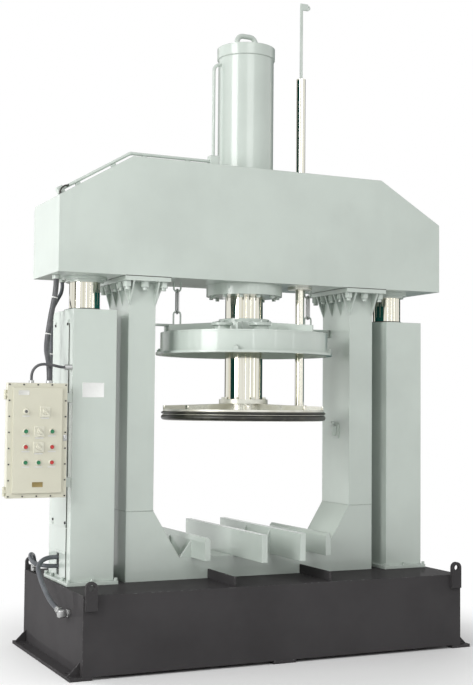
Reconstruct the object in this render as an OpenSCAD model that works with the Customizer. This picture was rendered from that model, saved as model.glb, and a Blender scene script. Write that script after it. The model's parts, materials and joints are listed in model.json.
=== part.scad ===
// Hydraulic drum extruder: a press frame on lift cylinders drives a sealed platen into a drum.
// Millimetres, +Z up, front towards -Y, origin on the floor midway between the columns.

/* [Platen] */
// Diameter over the platen seals; the width of the whole machine follows it
platen_d = 1160; // [900:1:1450]
// Height of the platen's underside above the base
platen_z = 1056; // [900:1:1300]
// Diameter of the guide rod
guide_d = 65; // [50:1:80]
// Distance of the guide rod's axis from the edge of the platen, along X
guide_inset = 176; // [150:1:215]
// Place of the guide rod's axis along Y
guide_y = -80; // [-120:1:-70]

/* [Base] */
// How far the base tank reaches past a column along X
base_over = 46; // [30:1:140]
// Depth of the base tank along Y
base_d = 1334; // [1150:1:1700]
// Height of the base tank above its feet
base_h = 488; // [400:1:640]
// Thickness of the side walls
base_wall = 12; // [8:1:20]
// Thickness of the top plate
base_top_t = 20; // [12:1:30]
// Thickness of the foot plates
foot_t = 20; // [12:1:30]
// How far an end foot stands out past the tank
foot_out = 80; // [60:1:120]
// How far an end foot reaches under the tank
foot_in = 65; // [40:1:100]
// Diameter of the anchor holes in the feet
anchor_d = 28; // [18:1:36]
// Distance of a wheel rail from the centre plane
rail_x = 350; // [280:1:420]
// Height of the wheel rails
rail_h = 62; // [40:1:80]
// Width of the crane lugs
lug_w = 76; // [60:1:90]
// Bore of the crane lugs
lug_bore = 38; // [25:1:45]

/* [Columns] */
// Gap between a leg and the column beside it
column_gap = 97; // [85:1:180]
// Width of a column
column_w = 294; // [260:1:360]
// Depth of a column
column_d = 476; // [400:1:600]
// Height of a column above the base
column_h = 1779; // [1450:1:2200]
// Wall of a column
column_wall = 12; // [8:1:16]
// Thickness of the flange that bolts the column down
column_flange_t = 22; // [15:1:30]
// Diameter of the lift rods
lift_rod_d = 205; // [150:1:212]

/* [Press frame] */
// How far the top beam reaches past the axis of a lift rod
beam_over = 271; // [220:1:330]
// Depth of the top beam
beam_d = 590; // [520:1:720]
// Height of the top beam's ends
beam_end_h = 495; // [400:1:600]
// Height of the top beam at its middle
beam_h = 789; // [650:1:950]
// Length of a slope on top of the beam, along X
beam_fall = 498; // [400:1:600]
// Plate thickness of the top beam
beam_plate = 25; // [16:1:35]
// Gap between the platen seals and a leg
bay_side = 167; // [155:1:240]
// Width of a leg
leg_w = 189; // [150:1:240]
// Depth of a leg
leg_d = 394; // [320:1:440]
// Plate thickness of the legs and the lower beam
leg_plate = 20; // [14:1:25]
// Height of the joint between a leg and the lower beam, above the base
flare_h = 460; // [380:1:560]
// How far a flare of the lower beam runs in from the leg
flare_run = 193; // [120:1:230]
// Height of the lower beam's top plate above the base
bed_h = 142; // [110:1:180]
// Gap between the column tops and the top beam
rod_gap = 229; // [190:1:300]
// Thickness of the cradle bars
bar_t = 40; // [30:1:50]
// Height of the inner cradle bars
bar_inner_h = 180; // [150:1:220]
// Height of the outer cradle bars
bar_outer_h = 150; // [120:1:180]

/* [Main cylinder] */
// Outer diameter of the cylinder barrel
barrel_d = 396; // [330:1:480]
// Wall of the cylinder barrel
barrel_wall = 38; // [25:1:48]
// Height of the barrel and cap above the top beam
barrel_h = 909; // [760:1:1090]
// Step between the barrel's bore and the ram
ram_land = 27; // [15:1:40]
// How far the flange under the top beam stands out past the barrel
cyl_flange_over = 70; // [58:1:85]
// Thickness of the flange under the top beam
cyl_flange_t = 78; // [60:1:95]

/* [Drum cover] */
// Step from the platen seals to the outside of the cover's band
cover_side = 10; // [6:1:30]
// Height of the cover's band
cover_h = 138; // [110:1:165]
// Drop from the beam's underside to the top of the cover's plate
cover_drop = 340; // [325:1:420]
// Distance of a hanging chain from the edge of the cover's band
chain_inset = 78; // [70:1:95]

/* [Control box] */
// Width of the box and its door
box_w = 386; // [350:1:460]
// Height of the box and its door
box_h = 722; // [690:1:860]
// Depth of the box behind its door
box_d = 112; // [95:1:140]
// Thickness of the door's rim
door_t = 26; // [18:1:32]
// Height of the door's raised panel
door_raise = 12; // [6:1:16]

/* [Hidden] */
$fn = 64;
eps = 1;

// Fits and gaps
run_fit = 0.05;
loose_fit = 0.5;
slot_gap = 10;
ram_gap = 4;

// Colours
grey_green = [0.74, 0.77, 0.75];
charcoal = [0.26, 0.26, 0.27];
cream = [0.88, 0.88, 0.82];
steel = [0.62, 0.63, 0.64];
chrome = [0.85, 0.86, 0.86];
black = [0.1, 0.1, 0.1];
signal_green = [0.0, 0.47, 0.32];
signal_red = [0.78, 0.12, 0.12];

// Heights that the pieces stack up to
base_top = foot_t + base_h;
column_foot = base_top + column_flange_t;
column_top = base_top + column_h;
beam_low = column_top + rod_gap;
beam_top = beam_low + beam_h;
beam_end_top = beam_low + beam_end_h;
barrel_top = beam_top + barrel_h;
flare_z = base_top + flare_h;
bed_z = base_top + bed_h;
platen_low = base_top + platen_z;
cover_top = beam_low - cover_drop;

// Widths that follow from the platen outwards
leg_in = platen_d / 2 + bay_side;
leg_out = leg_in + leg_w;
leg_mid = leg_in + leg_w / 2;
column_in = leg_out + column_gap;
column_x = column_in + column_w / 2;
column_out = column_in + column_w;
base_w = 2 * (column_out + base_over);
beam_w = 2 * (column_x + beam_over);
beam_flat = beam_w - 2 * beam_fall;
flare_in = leg_in - flare_run;
barrel_bore = barrel_d - 2 * barrel_wall;
ram_d = barrel_bore - 2 * ram_land;
cyl_flange_d = barrel_d + 2 * cyl_flange_over;
cover_r = platen_d / 2 + cover_side;
chain_x = cover_r - chain_inset;
guide_x = platen_d / 2 - guide_inset;

// Base tank
anchor_x = base_w / 2 + foot_out / 2;
anchor_y = base_d / 2 - 167;
foot_gusset_h = 80;
foot_gusset_t = 12;
foot_gusset_y = base_d / 2 - 60;
middle_foot_w = 160;
bulkhead_t = 12;
bulkhead_gap = 24;
rail_t = 12;
rail_clear = 6;
lug_t = 25;
lug_side = 46;
lug_rise = 49;
lug_drop = 92;
pit_floor = foot_t + 40;

// Columns
column_flange_over = 25;
column_top_t = 25;
lift_tube_gap = 6;
lift_tube_d = column_w - 2 * column_wall - 2 * lift_tube_gap;
lift_tube_bore = lift_rod_d + 2 * lift_tube_gap;
lift_port_d = 40;
lift_port_l = 35;
gland_d = column_w - 24;
gland_h = 10;
gland_spigot = lift_rod_d + 24;
gland_spigot_h = 40;
cover_plate_t = 4;
cover_plate_d = column_d - 176;
cover_plate_low = column_foot + 340;
cover_plate_high = column_top - 67;
cover_plate_lap = 20;
cover_screw_d = 14;
cover_screw_h = 5;
cover_screw_rows = 4;
hose_slot_y = [4, 56];
hose_slot_z = [column_foot + 20, column_foot + 162];
column_bolt_d = 24;
column_bolt_inset = 12.5;
bolt_head = 0.8;

// Press frame
leg_flange_t = 32;
leg_flange_in = 72;
leg_flange_out = 58;
leg_gusset_h = 156;
leg_gusset_t = 12;
leg_gusset_pitch = 126;
leg_bolt_d = 34;
nut_h = 38;
nut_d = 58;
web_t = 25;
web_x = 300;
bar_inner_x = 140;
bar_gusset_w = 84;
bar_outer_x = flare_in - bar_t / 2 - bar_gusset_w;
bar_inner_l = 1290;
bar_outer_l = 860;
bar_bevel = 16;
bar_gusset_h = 114;
bar_gusset_t = 14;
bar_gusset_y = leg_d / 2 - bar_gusset_t / 2;
rod_flange_d = 300;
rod_flange_t = 22;
rod_collar_d = 252;
rod_collar_t = 16;
lift_rod_low = column_foot + 180;
switch_z = flare_z + 524;
switch_plate_w = 100;
switch_plate_t = 8;
switch_w = 44;
switch_h = 68;
switch_d = 30;
switch_arm = 8;
roller_d = 24;

// Main cylinder
cap_h = 78;
cap_spigot = 40;
cap_lip = 8;
flange_bolts = 12;
flange_bolt_pcd = cyl_flange_d - 66;
flange_bolt_d = 30;
flange_bolt_h = 20;
piston_low = beam_low + 784;
piston_h = 150;
eye_w = 180;
eye_wire = 36;
eye_h = 116;
eye_bend = 45;

// Oil pipe from the barrel's head along the beam
pipe_d = 22;
pipe_bend = 44;
elbow_pipe_d = pipe_d + 2;
pipe_entry = 3;
pipe_off = 24;
pipe_x = barrel_d / 2 + 52;
pipe_head_z = barrel_top - 134;
pipe_y = beam_d / 2 - 45;
block_w = 60;
block_h = 62;
block_x = barrel_d / 2 + 162;
pipe_end = 60;
beam_slope = atan2(beam_h - beam_end_h, beam_fall);
knee_x = -beam_flat / 2 - (pipe_off - pipe_bend) * tan(beam_slope / 2);
slope_l = norm([beam_fall, beam_h - beam_end_h]) - pipe_end;
end_block_l = 40;
end_block_w = 44;
end_block_h = 46;
clip_w = 30;
clip_top_x = [block_x + 190, beam_flat / 2 - 90];
clip_slope_l = [140, 420];

// Platen stack
seal_low_h = 36;
seal_up_h = 19;
seal_gap = 4;
seal_low_z = platen_low + seal_gap;
seal_up_z = seal_low_z + seal_low_h + seal_gap;
seal_root = platen_d / 2 - 34;
disc_r = platen_d / 2 - 14;
disc_top = seal_up_z + seal_up_h + 14;
hub_r = ram_d / 2 + 39;
hub_step = 40;
disc_lead = 20;
rim_inset = 12;
hub_flange_h = 31;
hub_low = disc_top + 42;
hub_top = hub_low + hub_flange_h;
rib_t = 14;
rim_rib_h = 26;
platen_ribs = 8;
guide_collar_d = 104;
guide_collar_h = 34;
guide_top = beam_top + 725;
guide_bush_d = 172;
guide_bush_t = 17;
guide_bush_wall = 14;
guide_cap_d = 138;
indicator_w = 20;
indicator_t = 10;
indicator_top = guide_top + 559;
indicator_plate_w = 60;
indicator_plate_h = 74;
indicator_ring_d = 36;

// Drum cover
cover_wall = 10;
cover_plate = 12;
cover_low = cover_top - cover_h;
cover_rim_r = cover_r + 32;
cover_rim_t = 17;
cover_hub_r = ram_d / 2 + 70;
cover_hub_h = 100;
cover_hub_step = 24;
cover_ribs = 6;
cover_rib_h = 46;
cover_rib_end = 18;
port_r = cover_r - 235;
port_angles = [-140, -97];
port_d = 150;
port_stub_d = 108;
port_stub_h = 38;
port_cap_h = 18;
port_bolts = 8;
port_bolt_d = 14;
port_bolt_h = 8;
clamp_angles = [-120, -30, 60, 150];
clamp_w = 34;
clamp_h = 22;
clamp_inset = 4;
clamp_gap = 2;
arm_t = 14;
arm_w = 60;
arm_y = leg_gusset_pitch;
arm_web = 38;
arm_clear = 5;
arm_z = cover_top + 58;
shoe_h = 56;

// Hangers: a bow under the beam, a long link and a bow on the cover
bow_w = 64;
bow_wire = 12;
bow_drop = 70;
bow_rise = 147;
chain_wire = 15;
side_wire = 14.4;
link_entry = 1.5;
link_w = 50;
chain_seat = 0.5;
chain_high = beam_low - bow_drop + bow_wire + chain_seat + chain_wire;
chain_low = cover_top + bow_rise - bow_wire - chain_seat - chain_wire;

// Control box on the left column's outer side
box_gap = 49;
box_right = -column_out - box_gap;
box_mid = box_right - box_w / 2;
box_left = box_right - box_w;
box_low = column_foot + 548;
box_high = box_low + box_h;
box_rim = 22;
box_rim_t = 20;
box_wall = 8;
door_gap = 0.5;
door_out = 62;
door_face = -column_d / 2 - door_out;
door_front = door_face + door_raise;
door_back = door_front + door_t;
box_front = door_back + door_gap;
box_back = box_front + box_d;
panel_side = 34;
panel_end = 30;
screw_d = 10;
screw_h = 4;
screw_inset = 11;
screws_across = 5;
screws_down = 8;
hinge_r = 9;
hinge_pin_d = 8;
hinge_x = box_left - hinge_r - 1;
hinge_y = door_back + door_gap / 2;
hinge_half = 30;
hinge_leaf = 10;
hinge_play = 0.3;
hinge_z = [box_low + 42, box_high - 75];
bracket_t = 10;
bracket_h = 60;
bracket_gap = 6;
bracket_z = [box_low + 60, box_high - 120];

// Controls on the door, as columns and rows of the panel
column_1 = box_mid - 78;
column_2 = box_mid + 6;
column_3 = box_mid + 92;
row_1 = box_high - 180;
row_2 = box_high - 305;
row_3 = box_high - 403;
row_4 = box_high - 500;
button_places = [
    [column_1, row_2], [column_3, row_2],
    [column_1, row_3], [column_3, row_3],
    [column_1, row_4], [column_2, row_4], [column_3, row_4]
];
button_is_red = [false, false, true, true, false, false, true];
selector_places = [[box_mid + 45, row_1], [column_2 + 4, row_2], [column_2, row_3]];
lamp_place = [column_1, row_1];
bezel_d = 38;
bezel_t = 9;
button_d = 24;
button_h = 8;
button_gap = 5;
bezel_bore = 27;
stem_d = 10;
stem_l = 46;
selector_plate = 68;
selector_plate_t = 6;
knob_d = 34;
knob_h = 9;
lever_w = 9;
lever_l = 44;
lever_h = 14;
lever_turn = -40;
knob_gap = 0.4;

// Glands and hose fittings
box_gland_x = [box_mid - 21, box_mid + 97];
box_gland_y = box_front + 56.5;
box_gland_d = [40, 50];
box_gland_rise = 18;
box_gland_top = box_high + box_gland_rise;
box_gland_hex_h = 24;
box_gland_neck = 6;
beam_gland_h = 26;
elbow_w = 50;
ferrule_d = 40;
hose_ferrule_d = 33;
stub_d = 44;
cable_gland_d = 54;
hose_gland_d = 42;
conduit_gland_d = 36;
bulkhead_w = 46;
bulkhead_ferrule = 50;

// Routes of the free cables and hoses, chosen by hand: X from the left column's outer face,
// Z from the height that each route starts at, stretched where the other end moves with the beam
cord_sides = 10;
function route(points, z, stretch) = [for (p = points) [p.x - column_out, p.y, z + p.z * stretch]];
cable_rise = 672;
beam_cable_d = 36;
beam_cable_path = route([
    [-68, -60, 672], [-68, -60, 637], [-74, -60, 572], [-86, -60, 502], [-99, -60, 432],
    [-110, -60, 362], [-119, -60, 297], [-126, -67, 247], [-132, -87, 202], [-136, -115, 170],
    [-140, -148, 144], [-143, -177, 113], [-145, -196, 74], [-145, -205, 28], [-145, -205, 0]
], box_gland_top, (beam_low - beam_gland_h - box_gland_top) / cable_rise);
hose_rise = 710;
hose_foot = box_high - 20;
beam_hose_d = 25;
beam_hose_path = route([
    [37, 150, 710], [37, 150, 675], [27, 142, 636], [2, 119, 600], [-23, 90, 567],
    [-48, 58, 532], [-66, 30, 490], [-75, 10, 440], [-78, 0, 380], [-79, -4, 315],
    [-79, -6, 250], [-79, -6, 185], [-79, -6, 120], [-79, -6, 60], [-79, -6, 0]
], hose_foot, (beam_low - beam_gland_h - hose_foot) / hose_rise);
box_conduit_d = 18;
box_conduit_path = route([
    [-263, -205, 0], [-263, -205, 14], [-262, -206, 36], [-257, -209, 57], [-247, -215, 76],
    [-232, -222, 91], [-213, -229, 100], [-192, -233, 103], [-170, -233, 103], [-148, -231, 101],
    [-126, -226, 98], [-105, -221, 94], [-84, -216, 90], [-62, -214, 88], [-48, -214, 88]
], box_gland_top, 1);
base_hose_front_d = 30;
base_hose_front_path = route([
    [0, 30, 134], [-18, 30, 134], [-58, 28, 132], [-88, 20, 126], [-115, 5, 115],
    [-135, -13, 99], [-149, -36, 82], [-155, -61, 62], [-155, -101, 27], [-151, -141, -11],
    [-144, -180, -48], [-135, -221, -83], [-125, -264, -112], [-114, -311, -134], [-109, -335, -143]
], column_foot, 1);
base_hose_rear_d = 28;
base_hose_rear_path = route([
    [0, 30, 76], [-18, 30, 76], [-52, 33, 77], [-84, 47, 79], [-111, 70, 83],
    [-129, 100, 88], [-137, 133, 94], [-135, 190, 105], [-122, 257, 116], [-104, 316, 121],
    [-84, 368, 118], [-63, 412, 109], [-44, 452, 91], [-34, 474, 71], [-28, 488, 51]
], column_foot, 1);
path_last = len(base_hose_front_path) - 1;
ferrule_l = 62;
function past_end(path) = path[path_last] + ferrule_l * unit(path[path_last] - path[path_last - 1]);
front_elbow = past_end(base_hose_front_path);
rear_way = past_end(base_hose_rear_path);
rear_block = [rear_way.x, rear_way.y, base_top + elbow_w / 2];

// Shapes that repeat

// A box between two corners.
module span(low, high) {
    translate(low)
        cube(high - low);
}

// A box of width w and depth d about the centre axis, between two heights.
module block(w, d, low, high) {
    span([-w / 2, -d / 2, low], [w / 2, d / 2, high]);
}

// The children, and the same mirrored to the other side of the machine.
module both_sides() {
    children();
    mirror([1, 0, 0])
        children();
}

// The children at the front and, mirrored, at the back.
module front_and_back() {
    children();
    mirror([0, 1, 0])
        children();
}

// An upright cylinder between two heights.
module post(d, low, high) {
    translate([0, 0, low])
        cylinder(d = d, h = high - low);
}

// An upright ring between two heights.
module ring(d_out, d_in, low, high) {
    difference() {
        post(d_out, low, high);
        post(d_in, low - eps, high + eps);
    }
}

// A triangular plate in the XZ plane: its corner at the origin, running along +X and rising along +Z.
module gusset(run, rise, t) {
    rotate([90, 0, 0])
        linear_extrude(t, center = true)
            polygon([[0, 0], [run, 0], [0, rise]]);
}

// A hexagon head or nut standing up from the origin.
module hex(d, h) {
    cylinder(d = d, h = h, $fn = 6);
}

// A cylinder along -Y whose back face is on the plane y.
module button_body(d, y, h) {
    translate([0, y, 0])
        rotate([90, 0, 0])
            cylinder(d = d, h = h);
}

// An oval chain link in the XZ plane between two heights, its straight sides entering its bends.
module chain_link(low, high) {
    r = (link_w - chain_wire) / 2;
    bend = chain_wire / 2 + r;
    for (end = [0, 1])
        translate([0, 0, end == 1 ? high - bend : low + bend])
            rotate([90, end == 1 ? 0 : 180, 0])
                rotate_extrude(angle = 180)
                    translate([r, 0])
                        circle(d = chain_wire);
    both_sides()
        translate([r, 0, 0])
            post(side_wire, low + bend - link_entry, high - bend + link_entry);
}

// Sweep of a round cord along a list of points
function unit(v) = v / norm(v);
function tangent(path, i) =
    let (last = len(path) - 1)
    unit(path[min(i + 1, last)] - path[max(i - 1, 0)]);
function turned(normal, along) = unit(normal - along * (normal * along));
function normals(path, i = 0, found = []) =
    let (t = tangent(path, i))
    let (start = abs(t.z) < 0.9 ? [0, 0, 1] : [0, 1, 0])
    let (n = turned(i == 0 ? start : found[i - 1], t))
    i == len(path) - 1 ? concat(found, [n]) : normals(path, i + 1, concat(found, [n]));
function cord_points(path, d, sides) =
    let (across = normals(path))
    [for (i = [0 : len(path) - 1])
        let (side = cross(tangent(path, i), across[i]))
        for (k = [0 : sides - 1])
            let (a = 360 * k / sides)
            path[i] + d / 2 * (across[i] * cos(a) + side * sin(a))];
function cord_faces(rings, sides) = concat(
    [[for (k = [0 : sides - 1]) k]],
    [for (i = [0 : rings - 2])
        for (k = [0 : sides - 1])
            let (n = (k + 1) % sides)
            [i * sides + k, (i + 1) * sides + k, (i + 1) * sides + n, i * sides + n]],
    [[for (k = [sides - 1 : -1 : 0]) (rings - 1) * sides + k]]
);

// A round cord along its path.
module cord(path, d) {
    polyhedron(cord_points(path, d, cord_sides), cord_faces(len(path), cord_sides));
}

// Base

module base_tank() {
    color(charcoal) {
        difference() {
            block(base_w, base_d, foot_t, base_top);
            block(base_w - 2 * base_wall, base_d - 2 * base_wall, foot_t - eps, base_top - base_top_t);
            block(2 * (leg_out + slot_gap), leg_d + 2 * slot_gap, foot_t, base_top + eps);
        }
        both_sides()
            span([leg_out + bulkhead_gap, -base_d / 2 + base_wall, foot_t],
                 [leg_out + bulkhead_gap + bulkhead_t, base_d / 2 - base_wall, base_top - base_top_t]);
    }
}

// A foot plate across one end, with anchor holes and two gussets against the wall.
module end_foot() {
    difference() {
        span([base_w / 2 - foot_in, -base_d / 2, 0], [base_w / 2 + foot_out, base_d / 2, foot_t]);
        for (y = [-anchor_y, anchor_y])
            translate([anchor_x, y, 0])
                post(anchor_d, -eps, foot_t + eps);
    }
    for (y = [-foot_gusset_y, foot_gusset_y])
        translate([base_w / 2, y, foot_t])
            gusset(foot_out, foot_gusset_h, foot_gusset_t);
}

module base_feet() {
    color(charcoal) {
        both_sides()
            end_foot();
        block(middle_foot_w, base_d, 0, foot_t);
    }
}

module wheel_rails() {
    color(charcoal)
        both_sides()
            front_and_back()
                span([rail_x - rail_t / 2, -base_d / 2 + 2 * rail_t, base_top],
                     [rail_x + rail_t / 2, -leg_d / 2 - slot_gap - rail_clear, base_top + rail_h]);
}

// A round-topped crane lug on the front wall.
module lug() {
    translate([base_w / 2 - lug_side, -base_d / 2, base_top + lug_rise])
        rotate([90, 0, 0])
            linear_extrude(lug_t)
                difference() {
                    union() {
                        circle(d = lug_w);
                        translate([-lug_w / 2, -lug_rise - lug_drop])
                            square([lug_w, lug_rise + lug_drop]);
                    }
                    circle(d = lug_bore);
                }
}

module lifting_lugs() {
    color(charcoal)
        both_sides()
            front_and_back()
                lug();
}

// Columns and lift cylinders

// A hollow column on the right, its bolting flange, head bore and service opening.
module column() {
    half = column_d / 2;
    over = column_flange_over;
    inner_x = [column_in + column_wall, column_out - column_wall];
    inner_y = half - column_wall;
    difference() {
        union() {
            span([column_in - over, -half - over, base_top], [column_out + over, half + over, column_foot]);
            span([column_in, -half, column_foot], [column_out, half, column_top]);
        }
        span([inner_x[0], -inner_y, column_foot], [inner_x[1], inner_y, column_top - column_top_t]);
        translate([column_x, 0, 0])
            post(gland_spigot + 2 * loose_fit, column_top - column_top_t - eps, column_top + eps);
        span([inner_x[1] - eps, -cover_plate_d / 2 + cover_plate_lap, cover_plate_low + cover_plate_lap],
             [column_out + eps, cover_plate_d / 2 - cover_plate_lap, cover_plate_high - cover_plate_lap]);
    }
}

module column_left() {
    color(grey_green)
        difference() {
            mirror([1, 0, 0])
                column();
            span([-column_out - eps, hose_slot_y[0], hose_slot_z[0]],
                 [-column_out + column_wall + eps, hose_slot_y[1], hose_slot_z[1]]);
        }
}

module column_right() {
    color(grey_green)
        column();
}

// A service cover with its screws on the outer side of the right column.
module column_cover() {
    span([column_out, -cover_plate_d / 2, cover_plate_low],
         [column_out + cover_plate_t, cover_plate_d / 2, cover_plate_high]);
    pitch = (cover_plate_high - cover_plate_low - cover_plate_lap) / (cover_screw_rows - 1);
    for (side = [-1, 1])
        for (i = [0 : cover_screw_rows - 1])
            translate([column_out + cover_plate_t, side * (cover_plate_d - cover_plate_lap) / 2,
                       cover_plate_low + cover_plate_lap / 2 + i * pitch])
                rotate([0, 90, 0])
                    cylinder(d = cover_screw_d, h = cover_screw_h);
}

module column_covers() {
    color(grey_green)
        both_sides()
            column_cover();
}

module column_bolts() {
    inset = column_bolt_inset;
    xs = [column_in - inset, column_x, column_out + inset];
    y = column_d / 2 + inset;
    color(grey_green)
        both_sides() {
            for (x = xs)
                for (side = [-1, 1])
                    translate([x, side * y, column_foot])
                        hex(column_bolt_d, column_bolt_d * bolt_head);
            for (side = [-1, 1])
                translate([column_out + inset, side * column_d / 4, column_foot])
                    hex(column_bolt_d, column_bolt_d * bolt_head);
        }
}

module lift_cylinders() {
    color(steel) {
        both_sides()
            translate([column_x, 0, 0])
                ring(lift_tube_d, lift_tube_bore, column_foot, column_top - gland_spigot_h - eps);
        for (end = [base_hose_front_path[0], base_hose_rear_path[0]])
            translate(end)
                rotate([0, 90, 0])
                    cylinder(d = lift_port_d, h = lift_port_l);
    }
}

module lift_glands() {
    color(grey_green)
        both_sides()
            translate([column_x, 0, 0])
                difference() {
                    union() {
                        post(gland_d, column_top, column_top + gland_h);
                        post(gland_spigot, column_top - gland_spigot_h, column_top);
                    }
                    post(lift_rod_d + 2 * run_fit, column_top - gland_spigot_h - eps,
                         column_top + gland_h + eps);
                }
}

// Control box

module hinge_barrel(z, from, to) {
    translate([hinge_x, hinge_y, z])
        post(2 * hinge_r, from, to);
}

module box_body() {
    color(cream) {
        difference() {
            union() {
                span([box_left, box_front, box_low], [box_right, box_front + box_rim_t, box_high]);
                span([box_left + box_rim, box_front, box_low + box_rim],
                     [box_right - box_rim, box_back, box_high - box_rim]);
            }
            span([box_left + box_rim + box_wall, box_front - eps, box_low + box_rim + box_wall],
                 [box_right - box_rim - box_wall, box_back - box_wall, box_high - box_rim - box_wall]);
        }
        for (z = hinge_z) {
            for (end = [-1, 1])
                translate([0, 0, end > 0 ? hinge_leaf + hinge_play : -hinge_half]) {
                    hinge_barrel(z, 0, hinge_half - hinge_leaf - hinge_play);
                    span([hinge_x, hinge_y + door_gap, z],
                         [box_left + eps, hinge_y + hinge_r - door_gap,
                          z + hinge_half - hinge_leaf - hinge_play]);
                }
            translate([hinge_x, hinge_y, z])
                post(hinge_pin_d, -hinge_half, hinge_half);
        }
    }
}

// Two short channels that carry the box from the column's side.
module box_bracket() {
    start = box_right - box_rim;
    front = box_front + box_rim_t + bracket_gap;
    color(steel)
        for (z = bracket_z)
            difference() {
                span([start, front, z], [-column_out, box_back - bracket_gap, z + bracket_h]);
                span([start + bracket_t, front + bracket_t, z - eps],
                     [-column_out - bracket_t, box_back, z + bracket_h + eps]);
            }
}

module box_glands() {
    conduit_end = box_conduit_path[path_last];
    color(black) {
        for (i = [0, 1])
            translate([box_gland_x[i], box_gland_y, box_high - box_rim]) {
                hex(box_gland_d[i], box_gland_hex_h);
                cylinder(d = box_gland_d[i] - box_gland_neck, h = box_rim + box_gland_rise);
            }
        translate(conduit_end)
            rotate([0, 90, 0])
                cylinder(d = conduit_gland_d, h = -column_out - conduit_end.x);
    }
}

module box_door() {
    hole = stem_d + 2 * run_fit;
    color(cream)
        difference() {
            union() {
                span([box_left, door_front, box_low], [box_right, door_back, box_high]);
                span([box_left + panel_side, door_face, box_low + panel_end],
                     [box_right - panel_side, door_front, box_high - panel_end]);
                for (z = hinge_z) {
                    hinge_barrel(z, -hinge_leaf, hinge_leaf);
                    span([hinge_x, hinge_y - hinge_r + door_gap, z - hinge_leaf],
                         [box_left + eps, hinge_y - door_gap, z + hinge_leaf]);
                }
            }
            for (z = hinge_z)
                translate([hinge_x, hinge_y, z])
                    post(hinge_pin_d + 2 * run_fit, -hinge_leaf - eps, hinge_leaf + eps);
            for (p = concat(button_places, selector_places))
                translate([p.x, 0, p.y])
                    button_body(hole, door_back + eps, door_t + door_raise + 2 * eps);
        }
}

module door_screws() {
    xs = [for (i = [0 : screws_across - 1])
        box_left + screw_inset + i * (box_w - 2 * screw_inset) / (screws_across - 1)];
    zs = [for (i = [0 : screws_down - 1])
        box_low + screw_inset + i * (box_h - 2 * screw_inset) / (screws_down - 1)];
    last_x = screws_across - 1;
    last_z = screws_down - 1;
    color(black)
        for (i = [0 : last_x])
            for (j = [0 : last_z])
                if (i == 0 || i == last_x || j == 0 || j == last_z)
                    translate([xs[i], 0, zs[j]])
                        button_body(screw_d, door_front, screw_h);
}

module button_bezels() {
    color(cream)
        for (p = button_places)
            translate([p.x, 0, p.y])
                difference() {
                    button_body(bezel_d, door_face, bezel_t);
                    button_body(bezel_bore, door_face + eps, bezel_t + 2 * eps);
                }
}

module selector_plates() {
    hole = stem_d + 2 * loose_fit;
    half = selector_plate / 2;
    color(cream)
        for (p = selector_places)
            difference() {
                span([p.x - half, door_face - selector_plate_t, p.y - half],
                     [p.x + half, door_face, p.y + half]);
                translate([p.x, 0, p.y])
                    button_body(hole, door_face + eps, selector_plate_t + 2 * eps);
            }
}

module pilot_lamp() {
    color(steel)
        translate([lamp_place.x, 0, lamp_place.y]) {
            button_body(bezel_d, door_face, bezel_t);
            button_body(button_d, door_face - bezel_t, button_h / 2);
        }
}

// A push button, its cap in front of the panel and its stem through the door.
module button(i) {
    back = door_face - button_gap;
    color(button_is_red[i] ? signal_red : signal_green)
        translate([button_places[i].x, 0, button_places[i].y]) {
            button_body(button_d, back, button_h);
            button_body(stem_d, back + stem_l, stem_l);
        }
}

// A selector knob with a bar lever, on a shaft through the door.
module selector(i) {
    back = door_face - selector_plate_t - knob_gap;
    color(cream)
        translate([selector_places[i].x, 0, selector_places[i].y]) {
            button_body(knob_d, back, knob_h);
            button_body(stem_d, back + stem_l, stem_l);
            rotate([0, lever_turn, 0])
                span([-lever_w / 2, back - knob_h - lever_h, -lever_l / 2],
                     [lever_w / 2, back - knob_h, lever_l / 2]);
        }
}

// Cables, hoses and their fittings

// A ferrule from an elbow towards the end of a hose.
module ferrule(from, to) {
    way = to - from;
    translate(from)
        rotate([0, acos(way.z / norm(way)), atan2(way.y, way.x)])
            cylinder(d = ferrule_d, h = norm(way));
}

// A block elbow on the tank's end wall, with its stub and its ferrule.
module hose_elbow(at, hose_end) {
    translate(at) {
        cube(elbow_w, center = true);
        rotate([0, 90, 0])
            cylinder(d = stub_d, h = -base_w / 2 - at.x);
    }
    ferrule(at, hose_end);
}

module hose_fittings() {
    hose_end = beam_hose_path[path_last];
    color(steel) {
        hose_elbow(front_elbow, base_hose_front_path[path_last]);
        translate(rear_block)
            cube(elbow_w, center = true);
        ferrule(rear_way, base_hose_rear_path[path_last]);
        translate([hose_end.x, hose_end.y, hose_end.z - bulkhead_ferrule - bulkhead_w]) {
            span([-bulkhead_w / 2, -bulkhead_w / 2, 0],
                 [-column_out - cover_plate_t - hose_end.x, bulkhead_w / 2, bulkhead_w]);
            post(hose_ferrule_d, bulkhead_w, bulkhead_w + bulkhead_ferrule);
        }
    }
}

module beam_cable() {
    color(black)
        cord(beam_cable_path, beam_cable_d);
}

module beam_hose() {
    color(black)
        cord(beam_hose_path, beam_hose_d);
}

module box_conduit() {
    color(black)
        cord(box_conduit_path, box_conduit_d);
}

module base_hose_front() {
    color(black)
        cord(base_hose_front_path, base_hose_front_d);
}

module base_hose_rear() {
    color(black)
        cord(base_hose_rear_path, base_hose_rear_d);
}

// Press frame

// Outline of the beam in X and Z, set in by e all round.
function beam_outline(e) =
    let (half = beam_w / 2)
    let (flat = beam_flat / 2)
    let (rise = beam_h - beam_end_h)
    let (a = atan2(rise, half - flat))
    let (up = e * (1 - sin(a)) / cos(a))
    let (along = (rise - e + e * cos(a)) / sin(a))
    let (end_z = beam_end_top - e * cos(a) + up * sin(a))
    let (top_x = half - e * sin(a) - along * cos(a))
    [[-half + e, beam_low + e], [half - e, beam_low + e], [half - e, end_z],
     [top_x, beam_top - e], [-top_x, beam_top - e], [-half + e, end_z]];

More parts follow.
